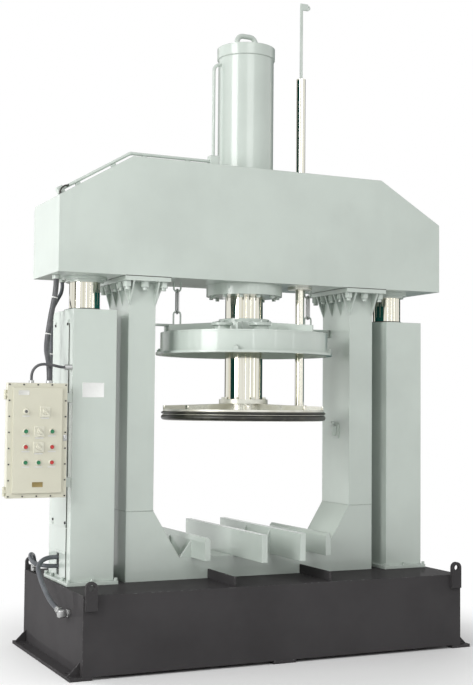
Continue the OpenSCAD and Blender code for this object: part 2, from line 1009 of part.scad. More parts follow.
// A plate of depth d with an outline in X and Z.
module profile_xz(points, d) {
    rotate([90, 0, 0])
        linear_extrude(d, center = true)
            polygon(points);
}

module top_beam() {
    color(grey_green) {
        difference() {
            profile_xz(beam_outline(0), beam_d);
            difference() {
                profile_xz(beam_outline(beam_plate), beam_d - 2 * beam_plate);
                both_sides()
                    span([web_x - web_t / 2, -beam_d / 2, beam_low],
                         [web_x + web_t / 2, beam_d / 2, beam_top]);
            }
            post(barrel_d + 2 * loose_fit, beam_low - eps, beam_top + eps);
            translate([guide_x, guide_y, 0])
                post(guide_d + 2 * guide_bush_wall + 2 * loose_fit, beam_low - eps, beam_top + eps);
        }
        both_sides()
            translate([chain_x, 0, 0])
                bow(beam_low + eps, beam_low - bow_drop);
    }
}

// A bow of round bar in the XZ plane, from its foot to its tip.
module bow(foot, tip) {
    r = (bow_w - bow_wire) / 2;
    up = tip > foot;
    bend = up ? tip - bow_w / 2 : tip + bow_w / 2;
    translate([0, 0, bend])
        rotate([90, up ? 0 : 180, 0])
            rotate_extrude(angle = 180)
                translate([r, 0])
                    circle(d = bow_wire);
    both_sides()
        translate([r, 0, 0])
            post(bow_wire, min(foot, bend), max(foot, bend));
}

// The right leg: a square tube, its bolting flange and the gussets under the flange.
module leg() {
    flange_low = beam_low - leg_flange_t;
    half = leg_d / 2;
    color(grey_green) {
        difference() {
            span([leg_in, -half, flare_z], [leg_out, half, flange_low]);
            span([leg_in + leg_plate, -half + leg_plate, flare_z - eps],
                 [leg_out - leg_plate, half - leg_plate, flange_low - leg_plate]);
        }
        span([leg_in - leg_flange_in, -beam_d / 2, flange_low],
             [leg_out + leg_flange_out, beam_d / 2, beam_low]);
        for (y = leg_gusset_places()) {
            translate([leg_in, y, flange_low])
                mirror([1, 0, 0])
                    side_gusset(leg_flange_in - leg_gusset_t);
            translate([leg_out, y, flange_low])
                side_gusset(leg_flange_out - leg_gusset_t);
        }
        front_and_back()
            for (x = [leg_in + leg_gusset_t / 2, leg_out - leg_gusset_t / 2])
                translate([x, -half, flange_low])
                    rotate([0, 0, -90])
                        side_gusset(beam_d / 2 - half - leg_gusset_t);
    }
}

// A gusset that hangs under a flange and runs along +X.
module side_gusset(run) {
    mirror([0, 0, 1])
        gusset(run, leg_gusset_h, leg_gusset_t);
}

function leg_gusset_places() = [for (i = [0 : 3]) (i - 1.5) * leg_gusset_pitch];

module leg_left() {
    mirror([1, 0, 0])
        leg();
}

module leg_right() {
    leg();
}

// The lower beam: a hollow box in the base pit with a flare up to each leg.
module lower_beam() {
    e = leg_plate;
    lean = atan2(flare_z - bed_z, leg_in - flare_in);
    side = e / sin(lean);
    bend = e / tan(90 - lean / 2);
    color(grey_green)
        difference() {
            profile_xz([
                [-leg_out, pit_floor], [leg_out, pit_floor], [leg_out, flare_z], [leg_in, flare_z],
                [flare_in, bed_z], [-flare_in, bed_z], [-leg_in, flare_z], [-leg_out, flare_z]
            ], leg_d);
            profile_xz([
                [-leg_out + e, pit_floor + e], [leg_out - e, pit_floor + e],
                [leg_out - e, flare_z + eps], [leg_in + side, flare_z + eps],
                [flare_in + bend, bed_z - e], [-flare_in - bend, bed_z - e],
                [-leg_in - side, flare_z + eps], [-leg_out + e, flare_z + eps]
            ], leg_d - 2 * e);
        }
}

// An inner cradle bar with the gussets on its inner side.
module inner_bar() {
    span([bar_inner_x - bar_t / 2, -bar_inner_l / 2, bed_z],
         [bar_inner_x + bar_t / 2, bar_inner_l / 2, bed_z + bar_inner_h]);
    for (side = [-1, 1])
        translate([bar_inner_x - bar_t / 2, side * bar_gusset_y, bed_z])
            mirror([1, 0, 0])
                gusset(bar_gusset_w, bar_inner_h - bar_bevel, bar_gusset_t);
}

// An outer cradle bar with bevelled top edges and the gussets on its outer side.
module outer_bar() {
    half = bar_t / 2;
    top = bed_z + bar_outer_h;
    translate([bar_outer_x, 0, 0])
        profile_xz([
            [-half, bed_z], [half, bed_z], [half, top - 2 * bar_bevel], [half - bar_bevel / 2, top],
            [-half + bar_bevel, top], [-half, top - bar_bevel]
        ], bar_outer_l);
    for (side = [-1, 1])
        translate([bar_outer_x + half, side * bar_gusset_y, bed_z])
            gusset(bar_gusset_w, bar_gusset_h, bar_gusset_t);
}

module cradle_bars() {
    color(grey_green)
        both_sides() {
            inner_bar();
            outer_bar();
        }
}

module cylinder_barrel() {
    color(grey_green)
        ring(barrel_d, barrel_bore, beam_low, barrel_top - cap_h);
}

// The cylinder's head with a bent lifting eye on top.
module cylinder_cap() {
    flat = (eye_w - eye_wire) / 2 - eye_bend;
    bend_z = barrel_top + eye_h - eye_wire / 2 - eye_bend;
    color(grey_green) {
        post(barrel_d + 2 * cap_lip, barrel_top - cap_h, barrel_top);
        post(barrel_bore - 2 * loose_fit, barrel_top - cap_h - cap_spigot, barrel_top - cap_h);
        both_sides() {
            translate([flat, 0, bend_z])
                rotate([90, 0, 0])
                    rotate_extrude(angle = 90)
                        translate([eye_bend, 0])
                            circle(d = eye_wire);
            translate([flat + eye_bend, 0, 0])
                post(eye_wire, barrel_top - eps, bend_z);
            translate([0, 0, bend_z + eye_bend])
                rotate([0, 90, 0])
                    cylinder(d = eye_wire, h = flat);
        }
    }
}

module cylinder_flange() {
    low = beam_low - cyl_flange_t;
    color(grey_green) {
        ring(cyl_flange_d, ram_d + 2 * run_fit, low, beam_low);
        for (i = [0 : flange_bolts - 1])
            rotate([0, 0, i * 360 / flange_bolts])
                translate([flange_bolt_pcd / 2, 0, low - flange_bolt_h])
                    hex(flange_bolt_d, flange_bolt_h + eps);
    }
}

module lift_rods() {
    color(chrome)
        both_sides()
            translate([column_x, 0, 0])
                post(lift_rod_d, lift_rod_low, beam_low);
}

module rod_flanges() {
    hole = lift_rod_d + 2 * loose_fit;
    step = beam_low - rod_flange_t;
    color(grey_green)
        both_sides()
            translate([column_x, 0, 0])
                difference() {
                    union() {
                        post(rod_flange_d, step, beam_low);
                        post(rod_collar_d, step - rod_collar_t, step);
                    }
                    post(hole, step - rod_collar_t - eps, beam_low + eps);
                }
}

// A bend of the pipe in the XZ plane, from +X round towards +Z about the origin.
module pipe_elbow(angle) {
    rotate([90, 0, 0])
        rotate_extrude(angle = angle)
            translate([pipe_bend, 0])
                circle(d = elbow_pipe_d);
}

// A straight run of pipe along +Z that enters the bends at its ends.
module pipe_run(length) {
    translate([0, 0, -pipe_entry])
        cylinder(d = pipe_d, h = length + 2 * pipe_entry);
}

// The pipe from the cylinder's head down to the beam, then along its top and down its slope.
module oil_pipe() {
    low = beam_top + pipe_off;
    run_y = -pipe_y;
    block_end = -block_x - block_w / 2;
    aim = atan2(run_y + block_w / 2, pipe_x - block_x);
    reach = norm([pipe_x - block_x, run_y + block_w / 2]) - pipe_d / 2;
    color(grey_green) {
        translate([-pipe_x, 0, 0])
            rotate([0, 0, aim]) {
                translate([0, 0, low + pipe_bend])
                    pipe_run(pipe_head_z - low - 2 * pipe_bend);
                translate([pipe_bend, 0, low + pipe_bend])
                    rotate([0, 180, 0])
                        pipe_elbow(90);
                translate([pipe_bend, 0, low])
                    rotate([0, 90, 0])
                        pipe_run(reach - pipe_bend - pipe_entry);
            }
        translate([-pipe_x + pipe_bend, 0, pipe_head_z - pipe_bend])
            rotate([0, -90, 0])
                pipe_elbow(90);
        translate([-pipe_x + pipe_bend, 0, pipe_head_z])
            rotate([0, 90, 0])
                pipe_run(pipe_x - pipe_bend - barrel_d / 2 - pipe_entry);
        translate([knee_x, run_y, low - pipe_bend]) {
            rotate([0, -90, 0])
                pipe_elbow(beam_slope);
            translate([0, 0, pipe_bend])
                rotate([0, 90, 0])
                    pipe_run(block_end - knee_x - pipe_entry);
            rotate([0, -beam_slope, 0])
                translate([0, 0, pipe_bend])
                    rotate([0, -90, 0])
                        pipe_run(slope_l);
        }
    }
}

// The manifold block on the beam's top, the saddle clips under the pipe and the block at its end.
module pipe_supports() {
    clip_h = pipe_off - pipe_d / 2;
    color(grey_green) {
        translate([-block_x, -pipe_y, beam_top])
            span([-block_w / 2, -block_w / 2, 0], [block_w / 2, block_w / 2, block_h]);
        for (x = clip_top_x)
            translate([-x, -pipe_y, beam_top])
                span([-clip_w / 2, -clip_w / 2, 0], [clip_w / 2, clip_w / 2, clip_h]);
        for (along = clip_slope_l)
            translate([-beam_flat / 2, -pipe_y, beam_top])
                rotate([0, -beam_slope, 0])
                    span([-along - clip_w / 2, -clip_w / 2, 0], [-along + clip_w / 2, clip_w / 2, clip_h]);
        translate([knee_x, -pipe_y, beam_top + pipe_off - pipe_bend])
            rotate([0, -beam_slope, 0])
                translate([-slope_l - pipe_entry - end_block_l, -end_block_w / 2, pipe_bend - pipe_off])
                    cube([end_block_l, end_block_w, end_block_h]);
    }
}

// The guide rod's flanged bush under the beam and its bush on top.
module guide_bushes() {
    bore = guide_d + 2 * run_fit;
    sleeve = guide_d + 2 * guide_bush_wall;
    color(steel)
        translate([guide_x, guide_y, 0])
            difference() {
                union() {
                    post(guide_bush_d, beam_low - guide_bush_t, beam_low);
                    post(sleeve, beam_low - eps, beam_low + beam_plate);
                    post(guide_cap_d, beam_top, beam_top + guide_bush_t);
                    post(sleeve, beam_top - beam_plate, beam_top + eps);
                }
                post(bore, beam_low - guide_bush_t - eps, beam_top + guide_bush_t + eps);
            }
}

// Nuts under the leg flanges, between the gussets.
module frame_bolts() {
    low = beam_low - leg_flange_t;
    x_in = leg_in - leg_flange_in / 2;
    x_out = leg_out + leg_flange_out / 2;
    y_end = (beam_d / 2 + leg_d / 2) / 2;
    places = concat(
        [for (x = [x_in, leg_mid, x_out]) for (y = [-y_end, y_end]) [x, y]],
        [for (x = [x_in, x_out]) for (i = [-1 : 1]) [x, i * leg_gusset_pitch]]
    );
    color(steel)
        both_sides()
            for (p = places)
                translate([p.x, p.y, low - nut_h]) {
                    hex(nut_d, nut_h);
                    post(leg_bolt_d, -nut_h / 2, eps);
                }
}

// A limit switch on the right leg's inner face: a plate, a body and a roller on an arm.
module limit_switch() {
    body_x = -switch_plate_t - switch_d;
    half = switch_plate_w / 2;
    span([-switch_plate_t, -half, -half], [0, half, half]);
    span([body_x, -switch_w / 2, -switch_h / 2], [-switch_plate_t, switch_w / 2, switch_h / 2]);
    span([body_x + switch_arm, -switch_w / 4, switch_h / 2 - eps],
         [body_x + 2 * switch_arm, switch_w / 4, switch_h / 2 + roller_d]);
    translate([body_x + 1.5 * switch_arm, 0, switch_h / 2 + roller_d])
        rotate([90, 0, 0])
            cylinder(d = roller_d, h = switch_w / 2 - eps, center = true);
}

// The limit switch and the glands of the two cables under the beam's left end.
module frame_electrics() {
    color(steel) {
        translate([leg_in, 0, switch_z])
            limit_switch();
        translate(beam_cable_path[0])
            cylinder(d = cable_gland_d, h = beam_gland_h);
        translate(beam_hose_path[0])
            cylinder(d = hose_gland_d, h = beam_gland_h);
    }
}

// The long link that hangs the cover from the beam.
module chain() {
    color(steel)
        translate([chain_x, 0, 0])
            rotate([0, 0, 90])
                chain_link(chain_low, chain_high);
}

module chain_left() {
    mirror([1, 0, 0])
        chain();
}

module chain_right() {
    chain();
}

// Ram and platen

module ram_rod() {
    color(chrome)
        post(ram_d, hub_top, piston_low);
}

module ram_piston() {
    color(steel)
        post(barrel_bore - 2 * run_fit, piston_low, piston_low + piston_h);
}

// The platen: a grooved disc, a ribbed top and the hub flange that bolts to the ram.
module platen() {
    color(steel) {
        rotate_extrude($fn = 128)
            polygon([
                [0, platen_low], [disc_r - disc_lead, platen_low], [disc_r, seal_low_z],
                [seal_root, seal_low_z], [seal_root, seal_low_z + seal_low_h],
                [disc_r, seal_low_z + seal_low_h], [disc_r, seal_up_z],
                [seal_root, seal_up_z], [seal_root, seal_up_z + seal_up_h],
                [disc_r, seal_up_z + seal_up_h], [disc_r, disc_top], [0, disc_top]
            ]);
        post(2 * (hub_r - hub_step + eps), disc_top - eps, hub_low);
        post(2 * hub_r, hub_low - eps, hub_top);
        for (i = [0 : platen_ribs - 1])
            rotate([0, 0, (i + 0.5) * 360 / platen_ribs])
                profile_xz([
                    [hub_r - hub_step, disc_top - eps], [disc_r - rim_inset, disc_top - eps],
                    [disc_r - rim_inset, disc_top + rim_rib_h], [hub_r - hub_step, hub_low]
                ], rib_t);
    }
}

// A lip ring in a groove of the platen.
module lip_ring(z, h, r_out) {
    color(black)
        rotate_extrude($fn = 128)
            polygon([
                [seal_root + loose_fit, z], [r_out - h / 3, z], [r_out, z + h / 3],
                [r_out, z + 2 * h / 3], [r_out - h / 3, z + h], [seal_root + loose_fit, z + h]
            ]);
}

module platen_seals() {
    lip_ring(seal_low_z, seal_low_h, platen_d / 2);
    lip_ring(seal_up_z, seal_up_h, platen_d / 2);
}

module guide_rod() {
    color(chrome)
        translate([guide_x, guide_y, 0]) {
            post(guide_d, disc_top, guide_top);
            post(guide_collar_d, disc_top, disc_top + guide_collar_h);
        }
}

// The flat bar on top of the guide rod that shows the stroke, with a roller bracket at its end.
module indicator_bar() {
    half = indicator_w / 2;
    reach = half + indicator_plate_w - indicator_ring_d / 2;
    middle = indicator_top - indicator_plate_h / 2;
    color(steel)
        translate([guide_x, guide_y, 0]) {
            span([-half, -indicator_t / 2, guide_top], [half, indicator_t / 2, indicator_top]);
            span([half - eps, -indicator_t / 2, middle - indicator_t],
                 [reach, indicator_t / 2, middle + indicator_plate_h / 2]);
            translate([reach, 0, middle + indicator_t])
                rotate([90, 0, 0])
                    ring(indicator_ring_d, indicator_ring_d / 2, -indicator_t / 2, indicator_t / 2);
        }
}

// Drum cover

// A rib from the hub to the band, lower at its outer end.
module cover_rib() {
    profile_xz([
        [cover_hub_r - eps, cover_top - eps], [cover_r - cover_rib_end, cover_top - eps],
        [cover_r - cover_rib_end, cover_top + cover_rib_h],
        [cover_hub_r - eps, cover_top + cover_hub_h - cover_hub_step]
    ], rib_t);
}

// An arm with a shoe that runs along the leg's inner face, behind the chain.
module cover_arm() {
    tip = leg_in - arm_clear;
    shoe = tip - arm_t;
    root = cover_r - arm_web - arm_w;
    translate([0, arm_y, 0]) {
        span([root, -arm_w / 2, arm_z - arm_t], [tip, arm_w / 2, arm_z]);
        span([shoe, -arm_w / 2, arm_z - shoe_h], [tip, arm_w / 2, arm_z]);
        span([root, -arm_w / 4, cover_top - eps], [root + arm_w, arm_w / 4, arm_z - arm_t + eps]);
    }
}

// The band round the drum's mouth, with the rim that its clamps hold.
module cover_band() {
    inner = cover_r - cover_wall;
    color(grey_green)
        rotate_extrude($fn = 128)
            polygon([
                [inner, cover_low - cover_rim_t], [cover_rim_r, cover_low - cover_rim_t],
                [cover_rim_r, cover_low], [cover_r, cover_low],
                [cover_r, cover_top - cover_plate], [inner, cover_top - cover_plate]
            ]);
}

// The lid on the band, with the hub round the ram, the ribs, the arms and the ports.
module drum_cover() {
    color(grey_green)
        difference() {
            union() {
                post(2 * cover_r, cover_top - cover_plate, cover_top);
                post(2 * cover_hub_r, cover_top - eps, cover_top + cover_hub_h - cover_hub_step);
                post(2 * (cover_hub_r - cover_hub_step), cover_top - eps, cover_top + cover_hub_h);
                for (i = [0 : cover_ribs - 1])
                    rotate([0, 0, i * 360 / cover_ribs])
                        cover_rib();
                both_sides() {
                    cover_arm();
                    translate([chain_x, 0, 0])
                        bow(cover_top - eps, cover_top + bow_rise);
                }
                for (a = port_angles)
                    rotate([0, 0, a])
                        translate([port_r, 0, 0])
                            post(port_stub_d, cover_top - eps, cover_top + port_stub_h);
            }
            post(ram_d + 2 * ram_gap, cover_low, cover_top + cover_hub_h + eps);
            translate([guide_x, guide_y, 0])
                post(guide_d + 2 * ram_gap, cover_low, cover_top + cover_hub_h + eps);
        }
}

// Bolted caps on the ports and the clamps along the rim.
module cover_fittings() {
    cap_low = cover_top + port_stub_h;
    color(grey_green) {
        for (a = port_angles)
            rotate([0, 0, a])
                translate([port_r, 0, cap_low]) {
                    post(port_d, 0, port_cap_h);
                    for (i = [0 : port_bolts - 1])
                        rotate([0, 0, (i + 0.5) * 360 / port_bolts])
                            translate([port_d / 2 - port_bolt_d, 0, port_cap_h - eps])
                                hex(port_bolt_d, port_bolt_h);
                }
        for (a = clamp_angles)
            rotate([0, 0, a])
                translate([cover_rim_r, 0, cover_low]) {
                    span([cover_r - cover_rim_r + clamp_gap, -clamp_w / 2, 0],
                         [-clamp_inset, clamp_w / 2, clamp_h]);
                    translate([-clamp_w / 2, 0, clamp_h - eps])
                        hex(clamp_w / 2, clamp_h / 2);
                }
    }
}

base_tank();
base_feet();
wheel_rails();
lifting_lugs();
column_left();
column_right();
column_covers();
column_bolts();
lift_cylinders();
lift_glands();
box_body();
box_bracket();
box_glands();
hose_fittings();
beam_cable();
beam_hose();
box_conduit();
base_hose_front();
base_hose_rear();
box_door();
door_screws();
button_bezels();
selector_plates();
pilot_lamp();
button(0);  // button_1
button(1);  // button_2
button(2);  // button_3
button(3);  // button_4
button(4);  // button_5
button(5);  // button_6
button(6);  // button_7
selector(0);  // selector_1
selector(1);  // selector_2
selector(2);  // selector_3
top_beam();
leg_left();
leg_right();
lower_beam();
cradle_bars();
cylinder_barrel();
cylinder_cap();
cylinder_flange();
lift_rods();
rod_flanges();
oil_pipe();
pipe_supports();
guide_bushes();
frame_bolts();
frame_electrics();
chain_left();
chain_right();
ram_rod();
ram_piston();
platen();
platen_seals();
guide_rod();
indicator_bar();
cover_band();
drum_cover();
cover_fittings();
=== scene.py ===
"""Looks of a hydraulic drum extruder: a press frame on lift columns over a drum bay.

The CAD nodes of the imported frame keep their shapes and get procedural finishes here. Cords, controls, seals,
hangers, welds and small fittings are modelled as pieces of their own that ride on the CAD bodies. Sizes are in
metres.
"""

import json
import logging
import math
from dataclasses import dataclass
from enum import Enum
from typing import Any, Callable, ClassVar, Iterable, Sequence, Union

import bmesh
import bpy
from mathutils import Euler, Matrix, Vector
from mathutils.geometry import interpolate_bezier


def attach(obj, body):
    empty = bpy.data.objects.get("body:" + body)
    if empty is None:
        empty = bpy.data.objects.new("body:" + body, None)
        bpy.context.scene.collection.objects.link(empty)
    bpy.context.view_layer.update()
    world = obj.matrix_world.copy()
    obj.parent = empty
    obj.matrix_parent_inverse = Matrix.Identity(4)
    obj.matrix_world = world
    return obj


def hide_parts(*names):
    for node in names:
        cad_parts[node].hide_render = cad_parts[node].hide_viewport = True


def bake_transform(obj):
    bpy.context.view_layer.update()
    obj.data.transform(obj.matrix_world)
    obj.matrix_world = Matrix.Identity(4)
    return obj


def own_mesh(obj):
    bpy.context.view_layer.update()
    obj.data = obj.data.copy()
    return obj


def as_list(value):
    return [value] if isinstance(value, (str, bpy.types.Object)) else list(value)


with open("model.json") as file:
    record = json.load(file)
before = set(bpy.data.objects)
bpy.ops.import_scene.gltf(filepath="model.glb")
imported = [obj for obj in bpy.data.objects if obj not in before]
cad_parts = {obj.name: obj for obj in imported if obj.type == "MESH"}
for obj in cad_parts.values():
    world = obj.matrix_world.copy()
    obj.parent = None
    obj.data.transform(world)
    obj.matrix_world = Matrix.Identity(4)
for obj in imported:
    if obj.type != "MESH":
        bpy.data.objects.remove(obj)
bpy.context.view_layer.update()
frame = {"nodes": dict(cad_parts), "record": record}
LOG = logging.getLogger("extruder")

Point = tuple[float, float, float]
Colour = tuple[float, float, float]
Profile = Sequence[tuple[float, float]]
Operand = Union["Field", float]


class Axis(Enum):
    """Directions along which round pieces stand."""

    UP = (0.0, 0.0, 1.0)
    FRONT = (0.0, -1.0, 0.0)
    LEFT = (-1.0, 0.0, 0.0)
    RIGHT = (1.0, 0.0, 0.0)


# Shading


class Field:
    """A node socket that takes part in Python arithmetic."""

    def __init__(self, shader: "Shader", socket: bpy.types.NodeSocket) -> None:
        """Keep the socket and the shader that new nodes go to."""
        self.shader = shader
        self.socket = socket

    def __add__(self, other: Operand) -> "Field":
        """Sum of this value and another."""
        return self.shader.math("ADD", self, other)

    __radd__ = __add__

    def __sub__(self, other: Operand) -> "Field":
        """This value less another."""
        return self.shader.math("SUBTRACT", self, other)

    def __rsub__(self, other: Operand) -> "Field":
        """Another value less this one."""
        return self.shader.math("SUBTRACT", other, self)

    def __mul__(self, other: Operand) -> "Field":
        """Product of this value and another."""
        return self.shader.math("MULTIPLY", self, other)

    __rmul__ = __mul__


class Shader:
    """The node tree of one material, with short ways to the nodes that the finishes use."""

    def __init__(self, name: str) -> None:
        """Start an empty material of that name.

        Args:
            name: the material's name.
        """
        self.material = bpy.data.materials.new(name)
        self.material.use_nodes = True
        self.tree = self.material.node_tree
        self.tree.nodes.clear()
        self.place = Field(self, self.node("ShaderNodeTexCoord").outputs["Object"])

    def node(self, kind: str, settings: dict[str, Any] | None = None,
             sockets: dict[str | int, Any] | None = None) -> bpy.types.Node:
        """Add a node.

        Args:
            kind: Blender's type of the node.
            settings: properties of the node, set before its sockets.
            sockets: values or fields by input name or number.

        Returns:
            The new node.
        """
        made = self.tree.nodes.new(kind)
        for key, value in (settings or {}).items():
            setattr(made, key, value)
        for key, value in (sockets or {}).items():
            if isinstance(value, Field):
                self.tree.links.new(value.socket, made.inputs[key])
            else:
                made.inputs[key].default_value = value
        return made

    def out(self, node: bpy.types.Node, which: str | int = 0) -> Field:
        """One output of a node as a field."""
        return Field(self, node.outputs[which])

    def math(self, operation: str, first: Operand, second: Operand = 0.0) -> Field:
        """A Math node of that operation on two values."""
        return self.out(self.node("ShaderNodeMath", {"operation": operation}, {0: first, 1: second}))

    def noise(self, scale: float, detail: float = 3.0, stretch: Point = (1.0, 1.0, 1.0)) -> Field:
        """Noise on Object coordinates.

        Args:
            scale: lumps to the metre.
            detail: octaves.
            stretch: factors on the three axes.

        Returns:
            The noise, about 0.5 on average.
        """
        place = self.node("ShaderNodeMapping", None, {"Vector": self.place, "Scale": stretch})
        sockets = {"Vector": self.out(place), "Scale": scale, "Detail": detail, "Roughness": 0.55}
        return self.out(self.node("ShaderNodeTexNoise", None, sockets))

    def step(self, value: Operand, low: float, high: float) -> Field:
        """A smooth step from 0 at low to 1 at high."""
        return self.out(self.node("ShaderNodeMapRange", {"interpolation_type": "SMOOTHSTEP"},
                                  {"Value": value, "From Min": low, "From Max": high}))

    def mix(self, share: Operand, first: Union[Field, Colour], second: Union[Field, Colour]) -> Field:
        """Colour between two colours.

        Args:
            share: how much of the second.
            first: one colour.
            second: the other colour.

        Returns:
            The mixed colour.
        """
        ends = [end if isinstance(end, Field) else (*end, 1.0) for end in (first, second)]
        made = self.node("ShaderNodeMix", {"data_type": "RGBA"}, {0: share, 6: ends[0], 7: ends[1]})
        return self.out(made, 2)

    def part(self, vector: Field, which: int) -> Field:
        """One coordinate of a vector."""
        return self.out(self.node("ShaderNodeSeparateXYZ", None, {0: vector}), which)

    def radius(self) -> Field:
        """Distance from the machine's axis.

        Returns:
            The distance in metres.
        """
        level = (1.0, 1.0, 0.0)
        flat = self.node("ShaderNodeVectorMath", {"operation": "MULTIPLY"}, {0: self.place, 1: level})
        size = self.node("ShaderNodeVectorMath", {"operation": "LENGTH"}, {0: self.out(flat)})
        return self.out(size, "Value")

    def rounded(self, radius: float) -> Field:
        """Normal that rounds the edges by a radius."""
        return self.out(self.node("ShaderNodeBevel", {"samples": 6}, {"Radius": radius}))

    def edge(self, rounded: Field) -> Field:
        """How far a rounded normal leans from the true one, 0 away from edges.

        Args:
            rounded: the rounded normal.

        Returns:
            The lean, 1 at a right angle.
        """
        true = self.out(self.node("ShaderNodeNewGeometry"), "Normal")
        dot = self.node("ShaderNodeVectorMath", {"operation": "DOT_PRODUCT"}, {0: rounded, 1: true})
        return 1 - self.out(dot, "Value")

    def crevice(self, reach: float) -> Field:
        """How enclosed a point is, by ambient occlusion, 0 in the open."""
        return 1 - self.out(self.node("ShaderNodeAmbientOcclusion", {"samples": 6}, {"Distance": reach}), "AO")

    def relief(self, height: Field, depth: float, normal: Field | None = None) -> Field:
        """A bumped normal, in metres of depth, on top of another normal.

        Args:
            height: the relief's height, from 0 to 1.
            depth: metres that a height of 1 stands for.
            normal: the normal under it, or None for the mesh's own.

        Returns:
            The bumped normal.
        """
        sockets: dict[str | int, Any] = {"Strength": 1.0, "Distance": depth, "Height": height}
        if normal is not None:
            sockets["Normal"] = normal
        return self.out(self.node("ShaderNodeBump", None, sockets))

    def surface(self, **sockets: Any) -> bpy.types.Material:
        """Close the tree with a Principled shader.

        Args:
            sockets: its values and fields, with _ for a space in a name.

        Returns:
            The finished material.
        """
        named: dict[str | int, Any] = {}
        for key, value in sockets.items():
            named[key.replace("_", " ")] = (*value, 1.0) if isinstance(value, tuple) else value
        shader = self.node("ShaderNodeBsdfPrincipled", None, named)
        self.node("ShaderNodeOutputMaterial", None, {"Surface": self.out(shader)})
        return self.material

    def either(self, share: Field, first: bpy.types.Node, second: bpy.types.Node) -> bpy.types.Material:
        """Close the tree with a mix of two shaders.

        Args:
            share: how much of the second.
            first: one shader.
            second: the other shader.

        Returns:
            The finished material.
        """
        both = self.node("ShaderNodeMixShader", None, {0: share, 1: self.out(first), 2: self.out(second)})
        self.node("ShaderNodeOutputMaterial", None, {"Surface": self.out(both)})
        return self.material


# Finishes


def scaled(colour: Colour, *factors: float) -> Colour:
    """A colour times one factor, or one for each channel, at most white."""
    each = factors * 3 if len(factors) == 1 else factors
    return tuple(min(1.0, c * f) for c, f in zip(colour, each))


@dataclass(frozen=True)
class Finish:
    """A finish by name; each kind draws its own material once."""

    name: str
    made: ClassVar[dict[str, bpy.types.Material]] = {}

    def material(self) -> bpy.types.Material:
        """The finish's material, made the first time it is asked for.

        Returns:
            The material.
        """
        if self.name not in Finish.made:
            Finish.made[self.name] = self.draw(Shader(self.name))
        return Finish.made[self.name]

    def draw(self, shader: Shader) -> bpy.types.Material:
        """Make the material; each kind of finish has its own."""
        raise NotImplementedError


@dataclass(frozen=True)
class Paint(Finish):
    """Sprayed machine paint with orange peel, clouds of tone, dirt runs, painted shade in corners and paler
    edges that are partly wear and partly a painted highlight.
    """

    colour: Colour = (0.5, 0.5, 0.5)
    rough: float = 0.32
    cloud: float = 0.05
    peel: float = 0.00012
    # Share of dirt runs and of painted shade in corners.
    grime_and_shade: float = 0.25
    # Share of paler edges: wear and a painted highlight along the edges.
    wear_and_highlight: float = 0.2
    coat: float = 0.25
    shine: float = 0.5

    def draw(self, shader: Shader) -> bpy.types.Material:
        """Tone, dirt, painted shade in corners, paler edges of wear and painted highlight, and relief of the
        paint.

        Args:
            shader: the empty material to draw in.

        Returns:
            The finished material.
        """
        dark = scaled(self.colour, 1 - self.cloud)
        pale = scaled(self.colour, 1 + self.cloud)
        clouds = shader.noise(1.7, 5.0)
        tone = shader.mix(shader.step(clouds, 0.3, 0.7), dark, pale)
        runs = shader.step(shader.noise(9.0, 4.0, (1.0, 1.0, 0.12)), 0.56, 0.78)
        tone = shader.mix(runs * (self.grime_and_shade * 0.35), tone, scaled(self.colour, 0.72))
        # Darker in corners and hollows by ambient occlusion, broken by noise: painted shade, partly dirt, which
        # also makes the paint rougher there.
        crevice_shade = shader.step(shader.crevice(0.05), 0.25, 0.9) * shader.step(shader.noise(26.0, 4.0), 0.3, 0.65)
        tone = shader.mix(crevice_shade * self.grime_and_shade, tone, scaled(self.colour, 0.45))
        rounded = shader.rounded(0.0055)
        # Paler edges where the rounded normal leans, broken by noise: partly wear, partly a painted highlight.
        rubbed_and_lit = shader.step(shader.edge(rounded), 0.02, 0.2) * shader.step(shader.noise(34.0, 5.0), 0.5, 0.68)
        tone = shader.mix(rubbed_and_lit * self.wear_and_highlight, tone, tuple(min(1.0, c * 0.6 + 0.36) for c in self.colour))
        gloss = self.rough + (clouds - 0.5) * 0.14 + crevice_shade * 0.25
        normal = shader.relief(shader.noise(260.0, 2.0), self.peel, rounded)
        return shader.surface(Base_Color=tone, Roughness=gloss, Normal=normal, Coat_Weight=self.coat,
                              Coat_Roughness=0.03, Specular_IOR_Level=self.shine)


@dataclass(frozen=True)
class Chrome(Finish):
    """Hard chrome on rods, with faint marks along the stroke, a thin film of oil, and darker stripes and a
    cream tint that are partly painted reflections of the surroundings.
    """

    # The cream tint is partly a painted reflection of warm surroundings.
    colour: Colour = (0.77, 0.76, 0.68)
    rough: float = 0.045

    def draw(self, shader: Shader) -> bpy.types.Material:
        """Stroke marks that double as painted reflection stripes, oil clouds and the mirror.

        Args:
            shader: the empty material to draw in.

        Returns:
            The finished material.
        """
        marks = shader.noise(90.0, 4.0, (1.0, 1.0, 0.008))
        film = shader.step(shader.noise(5.0, 4.0, (1.0, 1.0, 0.3)), 0.42, 0.7)
        # Darker stripes along the rod: stroke marks, and painted reflection stripes of the surroundings.
        stroke_and_reflection_streaks = shader.step(marks, 0.46, 0.66)
        tone = shader.mix(stroke_and_reflection_streaks * 0.7 + film * 0.2, self.colour, scaled(self.colour, 0.82, 0.78, 0.66))
        gloss = self.rough + stroke_and_reflection_streaks * 0.08 + film * 0.04
        normal = shader.relief(marks, 0.00004)
        return shader.surface(Base_Color=tone, Metallic=1.0, Roughness=gloss, Normal=normal)


